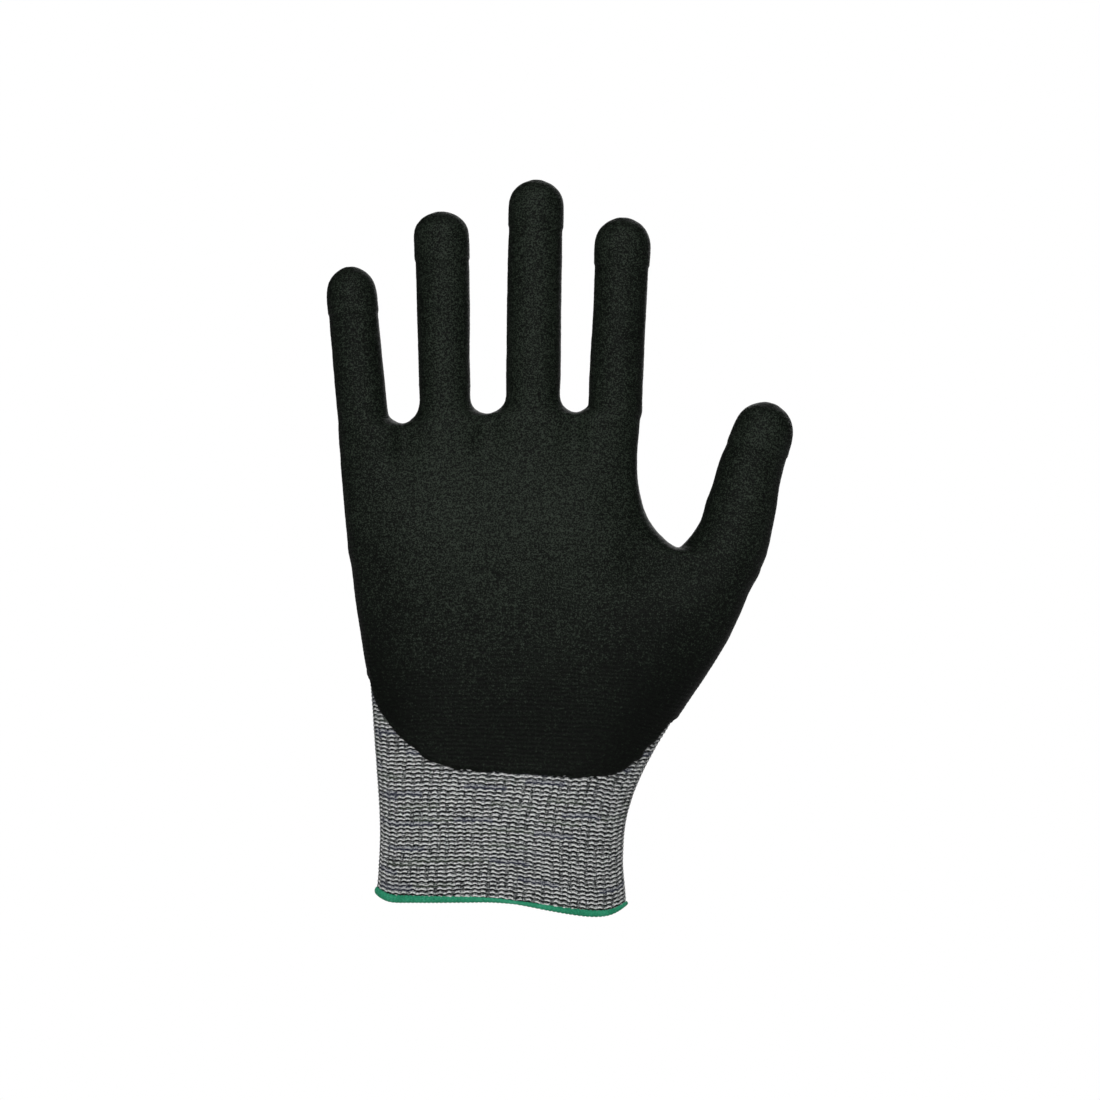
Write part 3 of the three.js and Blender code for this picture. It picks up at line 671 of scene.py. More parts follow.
def even_spread(z):
    """u of each front column when the columns are evenly spaced round the hand at height z."""
    u = np.sin(np.linspace(-math.pi / 2, math.pi / 2, 801))
    outline = np.array([hand_place(value, z, thumb_side, -1) for value in u])
    run = np.concatenate([[0], np.cumsum(np.linalg.norm(np.diff(outline, axis=0), axis=1))])
    return np.interp((np.arange(FRONT_POINTS) + 0.5) / FRONT_POINTS * run[-1], run, u)


bottom_u = even_spread(SPREAD_HEIGHT)
thumb_columns = range(THUMB_COLUMN, ALL_COLUMNS - LAST_COLUMN + FINGER_COLUMNS - 1)


def lower_place(row, k, sign):
    t = row / LOWER_ROWS
    top = cage.points[(top_front if sign < 0 else top_back)[k]]
    u = mix(top_u[k], bottom_u[k], smoothstep(t, 0, SPREAD_SHARE))
    hem_x = hand_place(u, LOWEST_SECTION, thumb_side, sign)[0]
    place = hand_place(u, mix(top[2], hem_height(hem_x), t), thumb_side, sign)
    keep = 1 - smoothstep(t, 0, ROOT_DEPTH_SHARE)
    place[1] = sign * mix(abs(place[1]), abs(top[1]), keep)
    return place


def lower_piece(row, i):
    if row > CUFF_ROW:
        return "cuff"
    if row > HEEL_ROW:
        return "heel"
    return "thumb_root" if i in thumb_columns else "palm"


hem_loop = loop_of(*add_rows(top_front, top_back, CROTCH_COURSE, LAST_COLUMN, LOWER_ROWS,
                             lower_place, lower_piece))

cage_quads = np.array(cage.quads)
cage_points = np.array(cage.points)
cage_stitches = np.array(cage.stitches, float)
cage_pieces = np.array(cage.pieces)


def fit_cage(targets, quads, rim):
    """Control points whose Catmull-Clark limit surface passes close to the targets."""
    valence = np.bincount(quads.ravel(), minlength=len(targets)).astype(float)[:, None]
    rim = np.array(rim)

    def limit(points):
        edges, faces = np.zeros_like(points), np.zeros_like(points)
        for corner in range(4):
            beside = points[quads[:, corner - 1]] + points[quads[:, (corner + 1) % 4]]
            np.add.at(edges, quads[:, corner], beside / 2)
            np.add.at(faces, quads[:, corner], points[quads[:, (corner + 2) % 4]])
        result = (valence ** 2 * points + 4 * edges + faces) / (valence * (valence + 5))
        result[rim] = (points[np.roll(rim, 1)] + 4 * points[rim] + points[np.roll(rim, -1)]) / 6
        return result

    points = targets.copy()
    for _ in range(CAGE_PASSES):
        points += targets - limit(points)
    return points


control = fit_cage(cage_points, cage_quads, hem_loop)


# ---- The skin ----

def mesh_from(name, places, faces):
    """A mesh from places in mm and a list of face arrays, each of one face size."""
    mesh = bpy.data.meshes.new(name)
    sizes = np.concatenate([np.full(len(f), f.shape[1]) for f in faces])
    loops = np.concatenate([f.ravel() for f in faces])
    mesh.vertices.add(len(places))
    mesh.vertices.foreach_set("co", (places * MM).astype(np.float32).ravel())
    mesh.loops.add(len(loops))
    mesh.loops.foreach_set("vertex_index", loops.astype(np.int32))
    mesh.polygons.add(len(sizes))
    starts = np.concatenate([[0], np.cumsum(sizes)[:-1]])
    mesh.polygons.foreach_set("loop_start", starts.astype(np.int32))
    mesh.update(calc_edges=True)
    mesh.validate()
    return mesh


def subdivide(points, quads):
    """The limit surface: places, normals and, for each cage quad, a grid of vertex numbers."""
    mesh = mesh_from("cage", points, [quads])
    patch = mesh.uv_layers.new(name="patch")
    corners = np.tile([[0, 1], [0, 0], [1, 0], [1, 1]], (len(quads), 1)).astype(np.float32)
    patch.data.foreach_set("uv", corners.ravel())
    holder = add_object("cage", mesh)
    modifier = holder.modifiers.new("skin", "SUBSURF")
    modifier.levels = modifier.render_levels = SUBDIVISIONS
    modifier.uv_smooth = "NONE"
    modifier.boundary_smooth = "ALL"
    modifier.use_limit_surface = True
    graph = bpy.context.evaluated_depsgraph_get()
    fine = bpy.data.meshes.new_from_object(holder.evaluated_get(graph), depsgraph=graph)
    places, normals = read_all(fine.vertices, "co", 3), read_all(fine.vertex_normals, "vector", 3)
    loop_vertices = read_all(fine.loops, "vertex_index", 1, int).ravel()
    spots = np.rint(read_all(fine.uv_layers["patch"].data, "uv", 2) * GRID).astype(int)
    quad_of_loop = np.arange(len(fine.loops)) // (4 * GRID * GRID)
    grid = np.full((len(quads), GRID + 1, GRID + 1), -1)
    grid[quad_of_loop, spots[:, 0], spots[:, 1]] = loop_vertices
    bpy.data.objects.remove(holder)
    bpy.data.meshes.remove(mesh)
    bpy.data.meshes.remove(fine)
    return places / MM, normals, grid


skin, normals, grid = subdivide(control, cage_quads)
assert grid.min() >= 0

# Stitch counts over the skin. Corners run upper left, lower left, lower right, upper right.
along_wales = (np.arange(GRID + 1) / GRID)[None, :, None, None]
along_courses = (np.arange(GRID + 1) / GRID)[None, None, :, None]
upper_left, lower_left, lower_right, upper_right = (cage_stitches[:, i, None, None, :] for i in range(4))
stitch_grid = mix(mix(lower_left, lower_right, along_wales), mix(upper_left, upper_right, along_wales),
                  along_courses)

# The courses and wales wander a little, as knitted ones do.
course_wander = Waves(3, 34.0)
wale_wander = Waves(4, 27.0)
fine_wander = Waves(5, 6.5)
wander = np.stack([0.30 * wale_wander(skin) + 0.10 * fine_wander(skin * [1, 1, 0.4]),
                   0.34 * course_wander(skin * [0.6, 0.6, 1]) + 0.10 * fine_wander(skin + 50)], -1)
stitch_grid = stitch_grid + wander[grid]
stitch = np.zeros((len(skin), 2))
stitch[grid.ravel()] = stitch_grid.reshape(-1, 2)


def knit_relief(stitches):
    """Height of the knit, 0 to 1: one strong and one weak arc in each course of two wales."""
    arc = np.cos(math.tau * (stitches[..., 0] / 2 - ARC_CENTRE))
    course = 0.5 - 0.5 * np.cos(math.tau * (stitches[..., 1] - ARC_RISE * arc))
    return course * (0.74 + 0.26 * arc)


swell = Waves(6, 38.0)
uneven = Waves(7, 9.0)
relief = RELIEF_BASE + RELIEF * knit_relief(stitch) * (1 + 0.25 * uneven(skin))
sway = 0.22 * swell(skin)


# ---- Cutting pieces from the skin ----

def cells(faces, step=1):
    """Fine quads of these cage faces as corners (face, i, j), at every "step"-th grid line."""
    i, j = np.meshgrid(np.arange(0, GRID, step), np.arange(0, GRID, step), indexing="ij")
    i, j = i.ravel(), j.ravel()
    corners_i = np.stack([i, i, i + step, i + step], -1)
    corners_j = np.stack([j + step, j, j, j + step], -1)
    face = np.asarray(faces)[:, None, None]
    shape = (len(faces), len(i), 4)
    return (np.broadcast_to(face, shape).reshape(-1, 4),
            np.broadcast_to(corners_i, shape).reshape(-1, 4),
            np.broadcast_to(corners_j, shape).reshape(-1, 4))


SIDES = [(0, 1), (1, 2), (2, 3), (3, 0)]        # corners of a cage quad, in its own turning direction
line = np.arange(GRID + 1)
SIDE_LINES = [(0 * line, line[::-1]), (line, 0 * line),
              (0 * line + GRID, line), (line[::-1], 0 * line + GRID)]

side_users = {}
for number, quad in enumerate(cage_quads):
    for side, (a, b) in enumerate(SIDES):
        side_users.setdefault(frozenset((int(quad[a]), int(quad[b]))), []).append((number, side))


def open_sides(faces):
    """(face, side) of every cage edge with one of these faces on it and not another."""
    chosen = set(int(f) for f in faces)
    result = []
    for users in side_users.values():
        inside = [user for user in users if user[0] in chosen]
        if len(inside) == 1:
            result.append(inside[0])
    return result


def weld(*groups):
    """Renumbers the vertices that these face arrays use from 0. Returns (used vertices, arrays)."""
    used, inverse = np.unique(np.concatenate([g.ravel() for g in groups]), return_inverse=True)
    arrays, start = [], 0
    for g in groups:
        arrays.append(inverse.ravel()[start:start + g.size].reshape(g.shape))
        start += g.size
    return used, arrays


def add_piece(name, mesh, material, smooth_normals=None):
    mesh.materials.append(material)
    mesh.polygons.foreach_set("use_smooth", np.ones(len(mesh.polygons), bool))
    if smooth_normals is not None:
        mesh.normals_split_custom_set_from_vertices(smooth_normals.tolist())
    return add_object(name, mesh)


def full_normals(places):
    """Vertex normals of the whole skin when its vertices are moved to these places."""
    face, i, j = cells(np.arange(len(cage_quads)))
    quads = grid[face, i, j]
    cross = np.cross(places[quads[:, 2]] - places[quads[:, 0]], places[quads[:, 3]] - places[quads[:, 1]])
    total = np.zeros_like(places)
    for corner in range(4):
        np.add.at(total, quads[:, corner], cross)
    return unit(total)


outside = skin + normals * (relief + sway)[:, None]
inside = skin + normals * (RELIEF_BASE - LINER_THICKNESS + 0.2 + sway)[:, None]
outside_normals = full_normals(outside)
VERTICES = len(skin)


def liner_piece(name, faces, material):
    """A closed shell of knit: full relief outside, a plainer surface inside, and rims between them."""
    face, i, j = cells(faces)
    outer = grid[face, i, j]
    inner_face, inner_i, inner_j = cells(faces, INNER_STEP)
    inner = grid[inner_face, inner_i, inner_j][:, ::-1] + VERTICES
    rims = []
    for number, side in open_sides(faces):
        run = grid[number][SIDE_LINES[side]]
        for start in range(0, GRID, INNER_STEP):
            half = start + INNER_STEP // 2
            low, high = run[start] + VERTICES, run[start + INNER_STEP] + VERTICES
            for k in range(start, start + INNER_STEP):
                rims.append((run[k + 1], run[k], low if k < half else high))
            rims.append((run[half], low, high))
    used, (outer, inner, rims) = weld(outer, inner, np.array(rims))
    places = np.concatenate([outside, inside])[used]
    mesh = mesh_from(name, places, [outer, inner, rims])
    layer = mesh.uv_layers.new(name="stitch")
    outer_uv = stitch_grid[face, i, j].reshape(-1, 2)
    inner_uv = stitch_grid[inner_face, inner_i, inner_j][:, ::-1].reshape(-1, 2)
    rim_uv = np.concatenate([stitch, stitch])[used][rims].reshape(-1, 2)
    layer.data.foreach_set("uv", np.concatenate([outer_uv, inner_uv, rim_uv]).astype(np.float32).ravel())
    shading = np.concatenate([outside_normals, -normals])[used]
    return add_piece(name, mesh, material, shading)


# Where the coating lies: above its border, in front of its wrap, and round the fingertips.
coat_edges = cad_edges("palm_coating")
coat_low, coat_high = box_of("palm_coating")
border_xs = np.linspace(coat_low[0] + 1.5, coat_high[0] - 2.0, 60)
border_zs = np.array([section(coat_edges, 0, x)[:, 2].min() for x in border_xs])
border_height = smooth_curve(border_xs, border_zs, 3)
border_slope = smooth_curve(border_xs, np.gradient(border_zs, border_xs), 3)
COAT_WRAP = coat_high[1]
border_noise = Waves(11, 7.0)
border_fuzz = Waves(12, 1.6, 14)
wrap_noise = Waves(13, 16.0)


def soft_least(a, b, width):
    """The lesser of a and b, rounded where they meet."""
    share = np.clip(0.5 + (b - a) / (2 * width), 0, 1)
    return mix(b, a, share) - width * share * (1 - share)


def tip_dip(digit):
    """Height above the digit's root from which its tip is coated all round."""
    local = digit.local_edges(f"{digit.name}_tip_coating").reshape(-1, 3)
    behind = local[local[:, 1] > COAT_WRAP + 1.0]
    return behind[:, 2].min()


uneven_border = 0.35 * border_noise(skin) + 0.12 * border_fuzz(skin)
above = (skin[:, 2] - border_height(skin[:, 0])) / np.sqrt(1 + border_slope(skin[:, 0]) ** 2)
least_above = np.where(skin[:, 0] > 0, BORDER_RISE * (skin[:, 2] - BORDER_TOP), above)
above = np.maximum(above, least_above)
wrap = COAT_WRAP + 0.9 * wrap_noise(skin)
beside_thumb = smoothstep(skin[:, 0], *SIDE_STRIP_X) * (1 - smoothstep(skin[:, 2], *SIDE_STRIP_HEIGHTS))
wrap = mix(wrap, SIDE_STRIP_WRAP, beside_thumb)
in_front = wrap - skin[:, 1]
coated = soft_least(above, in_front, ROUNDING) + uneven_border
second_dip = np.zeros(len(skin))
for digit in [*FINGERS, THUMB]:
    on_digit = np.unique(grid[np.char.startswith(cage_pieces, digit.name)])
    dipped = digit.along(skin[on_digit]) - tip_dip(digit) + uneven_border[on_digit]
    front_field = in_front[on_digit] + uneven_border[on_digit]
    if digit is not THUMB:
        coated[on_digit] = front_field
    coated[on_digit] = -soft_least(-coated[on_digit], -dipped, ROUNDING)
    second_dip[on_digit] = smoothstep(dipped, *SECOND_DIP_EDGE)


def clip(quads, field):
    """The part of these quads where the field is positive, cut along its zero line.

    Returns (quads, triangles, cuts). Each cut is (one vertex, other vertex), and cut number n is
    vertex VERTICES + n of the faces."""
    inside_count = (field[quads] > 0).sum(1)
    whole = quads[inside_count == 4]
    mixed = quads[(inside_count > 0) & (inside_count < 4)]
    triangles = np.concatenate([mixed[:, [0, 1, 2]], mixed[:, [0, 2, 3]]])
    signs = field[triangles] > 0
    count = signs.sum(1)
    kept = triangles[count == 3]

    def turned(chosen, which):
        """Triangles turned so that the one odd corner comes first."""
        rows = triangles[chosen]
        first = np.argmax(which[chosen], axis=1)
        order = (first[:, None] + np.arange(3)) % 3
        return np.take_along_axis(rows, order, 1)

    one = turned(count == 1, signs)
    two = turned(count == 2, ~signs)
    ends = np.concatenate([one[:, [0, 1]], one[:, [0, 2]], two[:, [0, 1]], two[:, [0, 2]]])
    cuts, number = np.unique(np.sort(ends, axis=1), axis=0, return_inverse=True)
    number = number.ravel() + VERTICES
    n, m = len(one), len(two)
    first_cut, second_cut = number[:n], number[n:2 * n]
    third_cut, fourth_cut = number[2 * n:2 * n + m], number[2 * n + m:]
    corners = np.stack([one[:, 0], first_cut, second_cut], -1)
    strips = np.stack([third_cut, two[:, 1], two[:, 2], fourth_cut], -1)
    return np.concatenate([whole, strips]), np.concatenate([kept, corners]), cuts


def coat_piece(name, faces, material):
    """A closed skin of foam over the coated part of these cage faces, or None if there is none."""
    face, i, j = cells(faces)
    quads, triangles, cuts = clip(grid[face, i, j], coated)
    if len(quads) == 0:
        return None
    share = coated[cuts[:, 0]] / (coated[cuts[:, 0]] - coated[cuts[:, 1]])
    share = np.clip(share, LEAST_SHARE, 1 - LEAST_SHARE)

    def carried(values):
        at_cuts = values[cuts[:, 0]] + (values[cuts[:, 1]] - values[cuts[:, 0]]) * (
            share if values.ndim == 1 else share[:, None])
        return np.concatenate([values, at_cuts])

    used, (quads, triangles) = weld(quads, triangles)
    depth = np.maximum(carried(coated)[used], 0)
    dip = carried(second_dip)[used]
    depth[used >= VERTICES] = 0
    base, up, shading = carried(skin)[used], unit(carried(normals))[used], unit(carried(coat_normals))[used]
    lift, swaying = carried(coat_lift)[used], carried(sway)[used]
    course = carried(stitch)[used]
    top = base + up * (lift + swaying)[:, None]
    under = base + up * (RELIEF_BASE - COAT_SUNK + swaying)[:, None]
    count = len(used)
    directed = np.concatenate([
        np.stack([quads, np.roll(quads, -1, 1)], -1).reshape(-1, 2),
        np.stack([triangles, np.roll(triangles, -1, 1)], -1).reshape(-1, 2)])
    key = directed[:, 0] * count + directed[:, 1]
    opposite = directed[:, 1] * count + directed[:, 0]
    rim = directed[~np.isin(key, opposite)]
    rims = np.stack([rim[:, 1], rim[:, 0], rim[:, 0] + count, rim[:, 1] + count], -1)
    mesh = mesh_from(name, np.concatenate([top, under]),
                     [quads, rims, quads[:, ::-1] + count, triangles, triangles[:, ::-1] + count])
    for label, values in (("inset", depth), ("course", course[:, 1]), ("second_dip", dip)):
        attribute = mesh.attributes.new(label, "FLOAT", "POINT")
        attribute.data.foreach_set("value", np.concatenate([values, values]).astype(np.float32))
    return add_piece(name, mesh, material, np.concatenate([shading, -up]))


# Height of the coating over the skin: full inside, rounded down to the yarns at the border, with
# the knit showing through faintly where the foam is thin.
lump = Waves(14, 5.0)
grain = Waves(15, 1.9, 16)
rounded = np.sqrt(np.clip(1 - (1 - np.clip(coated / LIP_WIDTH, 0, 1)) ** 2, 0, 1))
lip = LIP_HEIGHT * np.exp(-((coated - LIP_WIDTH) / 0.8) ** 2)
show_through = 0.035 + 0.075 * np.exp(-((skin[:, 2] - 74.0) / 22.0) ** 2)
telegraph = show_through * (knit_relief(stitch) - 0.5)
coat_lift = mix(RELIEF_BASE + 0.12, COAT_THICKNESS, rounded) + lip + SECOND_DIP * second_dip * rounded
coat_lift = coat_lift + (telegraph + 0.022 * lump(skin) + 0.014 * grain(skin)) * rounded
coat_normals = full_normals(skin + normals * (coat_lift + sway)[:, None])


# ---- Materials ----

class Value:
    """A number made by shader nodes. Arithmetic on it adds Math nodes."""

    def __init__(self, material, socket):
        self.material = material
        self.socket = socket

    def math(self, operation, *others):
        inputs = dict(enumerate((self, *others)))
        node = self.material.node("ShaderNodeMath", inputs, operation=operation)
        return Value(self.material, node.outputs[0])

    def __add__(self, other):
        return self.math("ADD", other)

    def __sub__(self, other):
        return self.math("SUBTRACT", other)

    def __mul__(self, other):
        return self.math("MULTIPLY", other)

    def stepped(self, low, high):
        """0 at low, 1 at high, smooth in between."""
        inputs = {"Value": self, "From Min": low, "From Max": high}
        node = self.material.node("ShaderNodeMapRange", inputs, interpolation_type="SMOOTHSTEP")
        return Value(self.material, node.outputs["Result"])


class Material:
    """A Principled material with short ways to make its nodes."""

    def __init__(self, name, roughness, specular):
        self.material = bpy.data.materials.new(name)
        self.material.use_nodes = True
        self.tree = self.material.node_tree
        self.shader = self.tree.nodes["Principled BSDF"]
        self.shader.inputs["Roughness"].default_value = roughness
        self.shader.inputs["Specular IOR Level"].default_value = specular
        self.place = self.node("ShaderNodeTexCoord").outputs["Object"]

    def put(self, value, socket):
        """Links a value or a socket to this input, or sets the input to a number or colour."""
        if isinstance(value, Value):
            value = value.socket
        if isinstance(value, bpy.types.NodeSocket):
            self.tree.links.new(value, socket)
        else:
            socket.default_value = value

    def node(self, kind, inputs=None, **settings):
        node = self.tree.nodes.new(kind)
        for key, value in settings.items():
            setattr(node, key, value)
        for slot, value in (inputs or {}).items():
            self.put(value, node.inputs[slot])
        return node

    def attribute(self, name):
        return Value(self, self.node("ShaderNodeAttribute", attribute_name=name).outputs["Fac"])

    def parts(self, vector):
        """The x, y and z of a vector as three values."""
        node = self.node("ShaderNodeSeparateXYZ", {0: vector})
        return [Value(self, socket) for socket in node.outputs]

    def noise(self, size_mm, detail=2.0, stretch=(1, 1, 1), roughness=0.5):
        """Noise over the object, 0 to 1, with features of about this size."""
        scale = [1 / (size_mm * MM * s) for s in stretch]
        mapping = self.node("ShaderNodeMapping", {"Vector": self.place, "Scale": scale})
        noise = self.node("ShaderNodeTexNoise", {
            "Vector": mapping.outputs[0], "Scale": 1.0, "Detail": detail, "Roughness": roughness})
        return Value(self, noise.outputs["Fac"])

    def random(self, *values):
        """A random number, 0 to 1, for each set of whole values."""
        combine = self.node("ShaderNodeCombineXYZ", dict(enumerate(values)))
        inputs = {"Vector": combine.outputs[0]}
        white = self.node("ShaderNodeTexWhiteNoise", inputs, noise_dimensions="3D")
        return Value(self, white.outputs["Value"])

    def ramp(self, factor, stops):
        """A colour ramp. stops: (position, linear colour)."""
        node = self.node("ShaderNodeValToRGB", {"Fac": factor})
        elements = node.color_ramp.elements
        while len(elements) < len(stops):
            elements.new(0.5)
        for element, (position, colour) in zip(elements, stops):
            element.position = position
            element.color = (*colour, 1)
        return node.outputs["Color"]

    def blend(self, factor, a, b):
        """Socket a where the factor is 0 and colour b where it is 1."""
        node = self.node("ShaderNodeMix", data_type="RGBA")
        for name, value in (("Factor", factor), ("A", a), ("B", (*b, 1))):
            self.put(value, next(s for s in node.inputs if s.name == name and s.enabled))
        return next(s for s in node.outputs if s.enabled)

    def colour(self, socket):
        self.put(socket, self.shader.inputs["Base Color"])

    def bump(self, height, distance_mm, strength):
        node = self.node("ShaderNodeBump", {
            "Strength": strength, "Distance": distance_mm * MM, "Height": height})
        self.put(node.outputs["Normal"], self.shader.inputs["Normal"])


def knit_material():
    m = Material("knit", roughness=0.9, specular=0.2)
    wales, courses, _ = m.parts(m.node("ShaderNodeUVMap", uv_map="stitch").outputs["UV"])
    pair = wales * 0.5 - ARC_CENTRE
    arc = (pair * math.tau).math("COSINE")
    course = courses - arc * ARC_RISE
    row = course.math("FLOOR")
    phase = course.math("FRACT")

    strong_cell = (pair + 0.5).math("FLOOR")
    weak_cell = pair.math("FLOOR")
    strong = arc.stepped(-0.40, 0.40) * (m.random(strong_cell, row, 1.0) * 0.70 + 0.50)
    weak = (arc * -1.0).stepped(0.10, 0.80) * (m.random(weak_cell, row, 2.0) * 0.75 - 0.05)
    strength = strong + weak
    lit = phase.stepped(0.40, 0.54) * phase.stepped(0.82, 0.66)
    shaded = phase.stepped(0.02, 0.12) * phase.stepped(0.46, 0.32)
    fibres = m.noise(0.34, 3.0, roughness=0.75, stretch=(1.5, 1.5, 0.8))
    flecks = m.noise(0.75, 1.0)
    patches = m.noise(4.0, 2.0)
    tone = lit * strength * 1.05 - shaded * (strength * 0.52 + 0.20) + 0.39
    tone = tone + (fibres - 0.5) * 2.6 + (flecks - 0.5) * 0.9 + (patches - 0.5) * 0.25
    colour = m.ramp(tone, [
        (0.00, (0.003, 0.004, 0.004)),
        (0.22, (0.024, 0.026, 0.027)),
        (0.42, (0.135, 0.144, 0.146)),
        (0.60, (0.430, 0.445, 0.445)),
        (0.84, (0.900, 0.910, 0.900)),
    ])
    long_cell = (wales * 0.11 + m.random(row, 7.0, 3.0) * 9.0).math("FLOOR")
    tint = m.random(long_cell, row, 4.0)
    navy = m.blend(tint.stepped(0.86, 0.92) * 0.38, colour, (0.060, 0.070, 0.130))
    green = m.blend(tint.stepped(0.10, 0.05) * 0.25, navy, (0.100, 0.140, 0.090))
    m.colour(green)
    height = (course * math.tau).math("COSINE") * -0.5 + 0.5
    m.bump(height * 0.5 + fibres * 0.8, 0.30, 0.8)
    return m.material


def coating_material():
    m = Material("foam coating", roughness=0.58, specular=0.12)
    inset = m.attribute("inset")
    course = m.attribute("course")
    second_dip = m.attribute("second_dip")
    specks = m.noise(0.46, 2.0, roughness=0.6)
    pores = m.noise(1.1, 1.0)
    clouds = m.noise(16.0, 2.0)
    ribs = (course * math.tau).math("COSINE")
    rib_patches = m.noise(3.2, 2.0, stretch=(2.2, 1, 0.5)).stepped(0.45, 0.72)
    x, _, z = m.parts(m.place)
    # painted light: the coating is made lighter, and its specks stronger, up the palm, as if lit from
    # above; less of that light on the fingers
    painted_light_up_the_palm = z.stepped(0.050, 0.140)
    painted_light_less_on_fingers = z.stepped(0.160, 0.190)
    # painted shade: darker away from the hand's middle line, over the outer fingers and the thumb
    outwards = (x - 0.004).math("ABSOLUTE").stepped(0.022, 0.048)
    # painted shade: darker where the surface turns away from the view, towards its outline
    facing = Value(m, m.node("ShaderNodeLayerWeight").outputs["Facing"])
    # the specks stand out more where the painted light up the palm falls
    tone = (specks - 0.5) * (painted_light_up_the_palm * 2.6 + 3.0) + (pores - 0.5) * 1.2 + (clouds - 0.5) * 0.4
    # painted shade towards the outline, from the facing value
    tone = tone - ribs * rib_patches * 0.22 - facing.stepped(0.15, 0.75) * 0.30
    # painted highlight: lighter along the coating's border, standing in for the gloss of its bead
    lip = (inset * -1.0).stepped(-1.7, -0.4) * 0.16
    # painted light up the palm, less of it on the fingers, and painted shade over the outer fingers and the
    # thumb
    tone = tone + painted_light_up_the_palm * 0.52 - painted_light_less_on_fingers * 0.10 - outwards * 0.18
    colour = m.ramp(tone + lip + second_dip * 0.08 + 0.05, [
        (0.0, (0.0007, 0.0014, 0.0007)),
        (0.5, (0.0057, 0.0100, 0.0059)),
        (1.0, (0.0300, 0.0400, 0.0295)),
    ])
    m.colour(colour)
    m.bump(specks * 0.8 + pores * 0.5 - ribs * 0.12, 0.30, 0.9)
    return m.material


def thread_material(name, dark, middle, light, size_mm):
    m = Material(name, roughness=0.78, specular=0.25)
    strands = m.noise(size_mm, 3.0, roughness=0.65)
    patches = m.noise(6.0, 1.0)
    tone = strands * 0.8 + (patches - 0.5) * 0.4 + 0.1
    m.colour(m.ramp(tone, [(0.25, dark), (0.5, middle), (0.8, light)]))
    m.bump(strands, 0.15, 0.6)
    return m.material


KNIT = knit_material()
COATING = coating_material()
HEM = thread_material("overlock thread", (0.006, 0.095, 0.050), (0.026, 0.350, 0.180),
                      (0.120, 0.560, 0.370), 0.35)
ELASTIC = thread_material("covered elastic", (0.30, 0.31, 0.30), (0.55, 0.56, 0.54),
                          (0.80, 0.80, 0.78), 0.3)


# ---- Liner and coating pieces ----

def hinge_zone(joint, before, after):
    """Blend ends this far before and after a joint, along its forward direction, in metres."""
    centre, forward = joint_place(joint), joint_forward(joint)
    return Vector((centre - forward * before) * MM), Vector((centre + forward * after) * MM)


def finger_motion(digit, part, order):
    """Bodies and blend ends of one piece of a finger."""
    joint = f"{digit.name}_{part}_bend"
    at = digit.along(joint_place(joint))
    lower = [at * 2 - digit.parts[0], *digit.parts][order]
    upper = [*digit.parts, at * 2 - digit.parts[1]][order]
    reach = min(at - lower, upper - at)
    parent = JOINTS[joint]["parent"]
    return parent, JOINTS[joint]["child"], *hinge_zone(joint, reach, reach)


swing_joint, swing_forward = joint_place("thumb_swing"), joint_forward("thumb_swing")
swing_before = (swing_joint - crotch_place) @ swing_forward
swing_end = THUMB.place(THUMB_PART, float(thumb_low(THUMB_PART)), 0.0)
swing_after = (swing_end - swing_joint) @ swing_forward
thumb_tip_reach = THUMB.along(joint_place("thumb_tip_bend")) - THUMB_PART

MOTIONS = {
    "cuff": ("cuff", "palm", *hinge_zone("wrist_bend", WRIST_REACH, WRIST_REACH)),
    "heel": ("palm",),
    "palm": ("palm",),
    "knuckle": ("palm", "knuckle_band", *hinge_zone("knuckle_fold", KNUCKLE_REACH, KNUCKLE_REACH)),
    "thumb_root": ("palm", "thumb_base", *hinge_zone("thumb_swing", swing_before, swing_after)),
    "thumb_tip": ("thumb_base", "thumb_tip",
                  *hinge_zone("thumb_tip_bend", thumb_tip_reach, thumb_tip_reach)),
}
for digit in FINGERS:
    for order, part in enumerate(FINGER_PARTS):
        MOTIONS[f"{digit.name}_{part}"] = finger_motion(digit, part, order)

STANDS_FOR = {
    "cuff": "knit_cuff",
    "palm": "palm_liner",
    "knuckle": "knuckle_liner",
    "thumb_root": "thumb_base_liner",
}


def attach(piece, name):
    motion = MOTIONS[name]
    if len(motion) == 1:
        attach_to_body(piece, motion[0])
    else:
        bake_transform(piece)


for name in dict.fromkeys(cage.pieces):
    faces = np.flatnonzero(cage_pieces == name)
    liner_name = STANDS_FOR.get(name, f"{name}_liner")
    layers = [(liner_piece(f"{name}_knit", faces, KNIT), "knit", liner_name),
              (coat_piece(f"{name}_coat", faces, COATING), "coating",
               liner_name.replace("_liner", "_coating"))]
    for piece, slot, cad_name in layers:
        if piece is not None:
            attach(piece, name)
            if cad_name in frame["nodes"]:
                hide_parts(cad_name)


# ---- Hem and elastic ----

def closed_run(places, count):
    """Evenly spaced places along a closed line."""
    closed = np.concatenate([places, places[:1]])
    run = np.concatenate([[0], np.cumsum(np.linalg.norm(np.diff(closed, axis=0), axis=1))])
    at = np.linspace(0, run[-1], count, endpoint=False)
    return np.stack([np.interp(at, run, closed[:, k]) for k in range(3)], -1), run[-1]


def ring_mesh(name, sections, closed):
    """A tube through rings of points: sections[i, k] is point k of ring i."""
    rings, around = sections.shape[:2]
    i = np.arange(rings if closed else rings - 1)[:, None]
    k = np.arange(around)[None, :]
    j, m = (i + 1) % rings, (k + 1) % around
    quads = np.stack([i * around + k, j * around + k, j * around + m, i * around + m], -1).reshape(-1, 4)
    faces = [quads]
    if not closed:
        last = (rings - 1) * around
        faces += [np.arange(around)[None, ::-1], (last + np.arange(around))[None, :]]
    return mesh_from(name, sections.reshape(-1, 3), faces)


def level_normals(tangent):
    """Level unit vectors square to these tangents."""
    return unit(np.stack([tangent[:, 1], -tangent[:, 0], 0 * tangent[:, 0]], -1))


